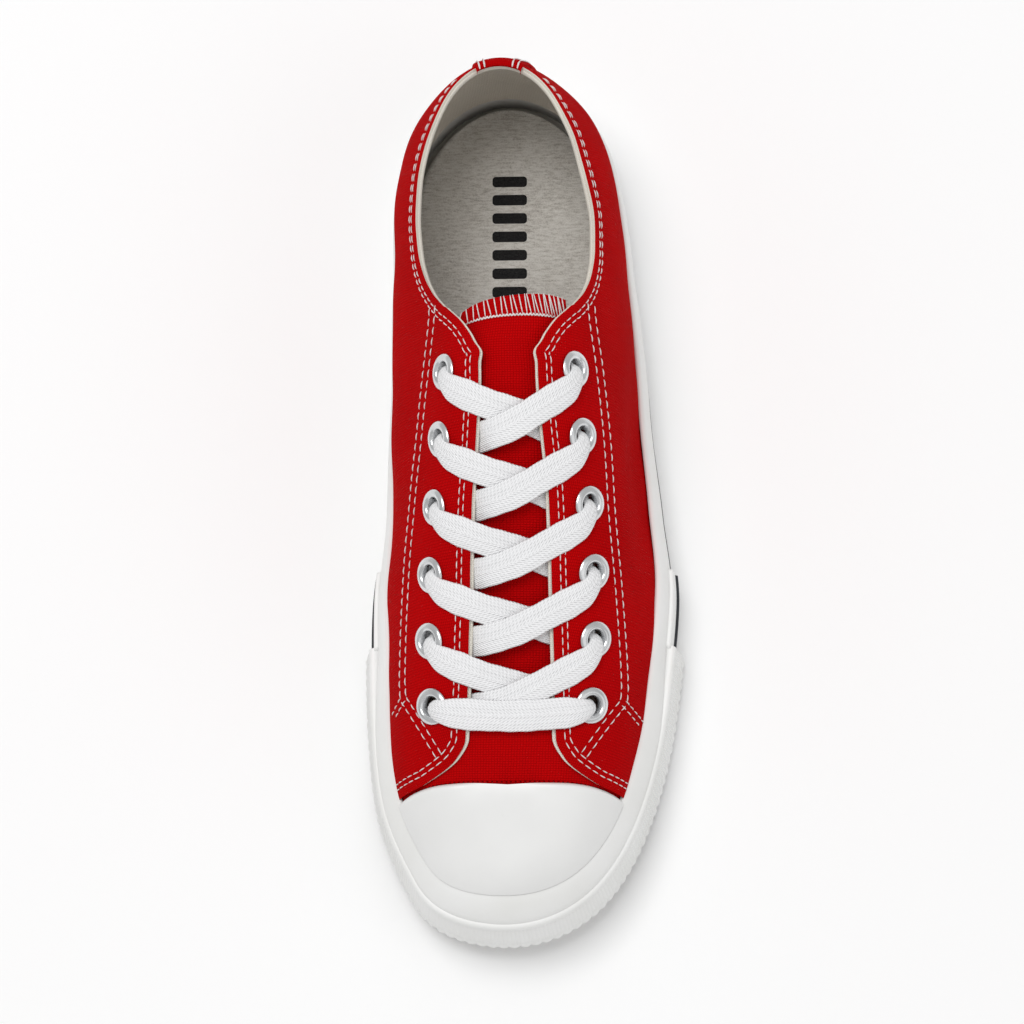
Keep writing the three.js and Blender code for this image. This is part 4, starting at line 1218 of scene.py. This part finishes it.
def pinpricks():
    """A close row of dark needle marks on the vamp, just behind the cap's rear edge."""
    across = np.linspace(-0.33, 0.33, 120) * BALL_WIDTH
    sweep = CAP_SWEEP * (np.abs(across) / (CAP_SWEEP_AT * BALL_WIDTH)) ** 4
    x, y = axis_x(CAP_REAR) + across, along_y(CAP_REAR + sweep) + 1.1
    line = top_at(x, y, -VAMP_STEP)
    marks = stitches(line, top_normal(x, y), pitch=1.4, length=0.6, radius=0.17)
    return tubes_mesh("needle_marks", [marks], DARK_RED)


# Eyelets: rolled metal rings

def eyelets():
    """All rings as one object: a profile of radius and height turned about each hole's axis."""
    bore = EYELET_BORE / 2
    rim = bore + EYELET_WALL
    flange = rim + FLANGE_WIDTH
    profile = [
        (bore, -2.6), (bore, -1.2), (bore, 0.0), (bore + 0.12, 0.55), (bore + 0.45, 0.98),
        (bore + 0.95, 1.18), (flange - 1.15, 1.10), (flange - 0.5, 0.86), (flange - 0.1, 0.5),
        (flange, 0.15), (flange - 0.3, -0.1), (rim, -0.15), (rim, -2.6),
    ]
    turn = 2 * np.pi * np.arange(EYELET_STEPS)[:, None] / EYELET_STEPS
    quads = grid_faces(EYELET_STEPS, len(profile), True, True)[0].reshape(-1, 4)
    groups = []
    for _, _, x, y in EYELETS:
        centre, normal = cloth_at(x, y)
        along = unit(np.cross(normal, [1.0, 0.0, 0.0]))
        ring = np.cos(turn) * np.cross(along, normal) + np.sin(turn) * along
        points = np.stack([centre + radius * ring + height * normal for radius, height in profile], 1)
        groups.append((points.reshape(-1, 3), quads))
    return tubes_mesh("eyelet_rings", groups, METAL)


# Laces: flat braid that rises out of an eyelet, crosses the throat and goes under the other facing

STRAPS = {
    # towards the other side, towards the toe, height over the cloth, width, cupping
    -1: [
        (-0.9, -1.0, -3.2, 4.6, -1.0), (-0.8, -0.9, -1.0, 4.8, -1.0), (-0.1, 0.3, 1.0, 5.2, -0.9),
        (1.2, 2.7, 1.95, 6.2, -0.6), (3.4, 5.5, 1.85, 8.1, -0.35), (6.6, 7.9, 1.1, 9.0, -0.15),
        (10.5, 10.2, 0.65, 9.0, 0.0), (13.5, 11.7, 0.1, 9.0, 0.0), (16.3, 12.9, -0.5, 9.0, 0.0),
        (19.5, 14.1, -1.1, 9.0, 0.0), (23.5, 15.5, -2.0, 9.0, 0.0), (27.5, 17.0, -2.9, 9.0, 0.0),
        (31.0, 18.2, -3.3, 8.4, 0.0), (36.5, 18.9, -3.3, 6.0, -0.5), (38.0, 18.8, -3.0, 4.6, -1.0),
    ],
    1: [
        (-0.9, -1.2, -3.2, 4.6, -1.0), (-0.8, -1.0, -1.0, 4.8, -1.0), (-0.3, 0.5, 1.0, 5.2, -0.9),
        (0.7, 3.1, 1.95, 6.3, -0.6), (2.6, 6.2, 1.85, 8.3, -0.35), (5.6, 9.1, 1.1, 9.0, -0.15),
        (9.6, 12.1, 0.75, 9.0, 0.0), (14.0, 15.1, 0.9, 9.0, 0.0), (18.0, 17.4, 1.0, 9.0, 0.0),
        (22.0, 19.1, 0.6, 9.0, 0.0), (25.0, 20.0, -0.7, 9.0, 0.0), (28.0, 20.6, -2.6, 9.0, 0.0),
        (31.0, 20.6, -3.3, 8.4, 0.0), (36.5, 19.4, -3.3, 6.0, -0.5), (38.0, 18.8, -3.0, 4.6, -1.0),
    ],
}
BAR = [
    # towards the middle, towards the toe, height over the cloth, width, cupping
    (-1.2, -0.3, -3.2, 4.6, -1.0), (-1.0, -0.2, -1.0, 4.8, -1.0), (0.0, 0.3, 1.0, 5.2, -0.9),
    (2.0, 0.9, 2.1, 6.4, -0.6), (5.0, 1.6, 2.1, 8.2, -0.3), (9.0, 2.1, 1.75, 9.2, -0.1),
    (16.0, 2.6, 1.8, 9.4, 0.0),
]


def catmull(points, steps):
    """A smooth line through a few points."""
    points = np.asarray(points, float)
    padded = np.concatenate([[2 * points[0] - points[1]], points, [2 * points[-1] - points[-2]]])
    rows = []
    for k in range(1, len(padded) - 2):
        t = np.linspace(0, 1, steps, endpoint=False)[:, None]
        a, b, c, d = padded[k - 1: k + 3]
        square = (2 * a - 5 * b + 4 * c - d) * t**2
        rows.append(0.5 * (2 * b + (c - a) * t + square + (3 * b - a - 3 * c + d) * t**3))
    return np.concatenate(rows + [points[-1:]])


def ribbon(path):
    """Points of a flat braid along rows of plan place, height, width and cupping."""
    normal = top_normal(path[:, 0], path[:, 1])
    spine = top_at(path[:, 0], path[:, 1]) + normal * path[:, 2:3]
    tangent = unit(np.gradient(spine, axis=0))
    across = unit(np.cross(tangent, normal))
    lift = np.cross(across, tangent)
    half = np.linspace(-1, 1, 25)
    shape = np.sqrt(np.clip(1 - np.abs(half) ** 3.2, 0, 1)) * (1 + 0.10 * np.cos(np.pi * half * 4))
    lengths = run_lengths(spine)
    width = path[:, 3] + 0.18 * np.sin(lengths / 2.3) + 0.10 * np.sin(lengths / 0.9)
    rows = []
    for sign, order in ((1, slice(None)), (-1, slice(-2, 0, -1))):
        for h, s in zip(half[order], shape[order]):
            sideways = across * (width / 2 * h)[:, None]
            upward = lift * (sign * s * LACE_THICKNESS / 2 + path[:, 4] * h * h)[:, None]
            rows.append(spine + sideways + upward)
    v = np.concatenate([half, half[-2:0:-1], half[:1]]) * LACE_WIDTH / 2
    uv = np.stack(np.broadcast_arrays(lengths[:, None], v[None, :]), -1)
    return np.stack(rows, 1), uv


def lace_piece(name, paths):
    """One object from several ribbons."""
    made = []
    for i, path in enumerate(paths):
        points, uv = ribbon(path)
        made.append(grid_mesh(f"{name}_{i}", points, [COTTON], uv, loop_v=True, caps=True))
    bpy.ops.object.select_all(action="DESELECT")
    for item in made:
        item.select_set(True)
    bpy.context.view_layer.objects.active = made[0]
    if len(made) > 1:
        bpy.ops.object.join()
    made[0].name = name
    return made[0]


def eyelet_at(row, side):
    return next((x, y) for r, s, x, y in EYELETS if r == row and s == side)


def crossing(row):
    """The strap from the inner side runs under the one from the outer side."""
    paths = []
    for side in (-1, 1):
        x0, y0 = eyelet_at(row, side)
        x1, y1 = eyelet_at(row + 1, -side)
        place = place_at_y(y1)
        far = abs(x0 - axis_x(place)) + opening_share(place) * BALL_WIDTH
        points = np.array(STRAPS[side])
        across = np.interp(points[:, 0], [-1, 0, STRAP_FAR, STRAP_END], [-1, 0, far, abs(x1 - x0)])
        points[:, 0] = x0 - side * across
        points[:, 1] = y0 - points[:, 1] * EYELET_PITCH / STRAP_PITCH
        paths.append(catmull(points, CURVE_STEPS))
    return lace_piece(f"lace_pair_{row + 1}", paths)


def lace_bar():
    """The straight lace over the front pair of eyelets."""
    halves = []
    for side in (-1, 1):
        x0, y0 = eyelet_at(EYELET_ROWS - 1, side)
        points = np.array(BAR)
        points[:, 0] = x0 - side * points[:, 0]
        points[:, 1] = y0 - points[:, 1] * LACE_SAG / BAR[-1][1]
        halves.append(points)
    middle = (halves[0][-1] + halves[1][-1]) / 2
    middle[1] -= 0.15
    points = np.concatenate([halves[0], [middle], halves[1][::-1]])
    return lace_piece("lace_straight", [catmull(points, CURVE_STEPS)])


# Stage, lights and camera

def studio():
    mesh = bpy.data.meshes.new("floor")
    half = 4.0
    corners = [(-half, -half, 0), (half, -half, 0), (half, half, 0), (-half, half, 0)]
    mesh.from_pydata(corners, [], [(0, 1, 2, 3)])
    mesh.materials.append(Graph("floor_paint", 0.8).finish((0.97, 0.97, 0.97)))
    floor = in_scene("floor", mesh)
    floor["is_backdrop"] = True
    world = bpy.data.worlds.new("studio")
    world.use_nodes = True
    background = world.node_tree.nodes["Background"]
    background.inputs[0].default_value = (1.0, 1.0, 1.0, 1)
    background.inputs[1].default_value = WORLD_LIGHT
    bpy.context.scene.world = world
    # Name, place and width in metres, power in watts
    lamps = [("key", (-0.35, 0.35, 1.9), 0.9, 16.5), ("fill", (1.1, -0.7, 1.5), 1.8, 4.0)]
    for name, spot, width, power in lamps:
        data = bpy.data.lights.new(name, "AREA")
        data.energy = power
        data.size = width
        lamp = in_scene(name, data)
        lamp.location = spot
        lamp.rotation_euler = (-Vector(spot)).to_track_quat("-Z", "Y").to_euler()
    bpy.context.scene.view_settings.view_transform = "Standard"


def camera():
    """Looks down on the shoe from its toe's side, with the picture's top towards the heel."""
    elevation, azimuth = np.radians(CAMERA_ELEVATION), np.radians(CAMERA_AZIMUTH)
    flat = np.cos(elevation)
    back = Vector((np.sin(azimuth) * flat, -np.cos(azimuth) * flat, np.sin(elevation)))
    right = Vector((0, 1, 0)).cross(back).normalized()
    turn = Matrix((right, back.cross(right), back)).transposed().to_4x4()
    data = bpy.data.cameras.new("camera")
    data.lens = CAMERA_LENS
    data.sensor_width = SENSOR_WIDTH
    made = in_scene("camera", data)
    place = (Vector(CAMERA_TARGET) + back * CAMERA_DISTANCE) * MM
    made.matrix_world = Matrix.Translation(place) @ turn
    bpy.context.scene.camera = made


def dress(piece, slot, *nodes):
    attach(piece, "root")
    if nodes:
        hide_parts(*nodes)
    return piece


camera()
studio()
dress(quarters(), "red_canvas", "upper")
dress(vamp(), "red_canvas")
dress(toe_cap(), "white_rubber", "toe_cap")
dress(foxing(), "white_rubber", "foxing")
dress(forefoot_strip(), "white_rubber", "forefoot_strip")
dress(toe_bumper(), "white_rubber", "toe_bumper")
dress(insole(), "insole_cloth", "insole")
dress(tongue(), "red_canvas", "tongue")
dress(overlock(), "white_cotton")
dress(heel_strip(), "red_canvas", "heel_strip")
dress(all_stitches(), "white_cotton")
dress(pinpricks(), "red_canvas")
dress(eyelets(), "eyelet_metal", *[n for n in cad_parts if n.startswith("eyelet")])
for row in range(EYELET_ROWS - 1):
    dress(crossing(row), "white_cotton", f"lace_cross_{row + 1}")
dress(lace_bar(), "white_cotton", "lace_bar")

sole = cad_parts["outsole"]
sole.data.materials.clear()
sole.data.materials.append(SOLE_RUBBER)

{"cad": cad_box, "visual": [list(corner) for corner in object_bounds()]}
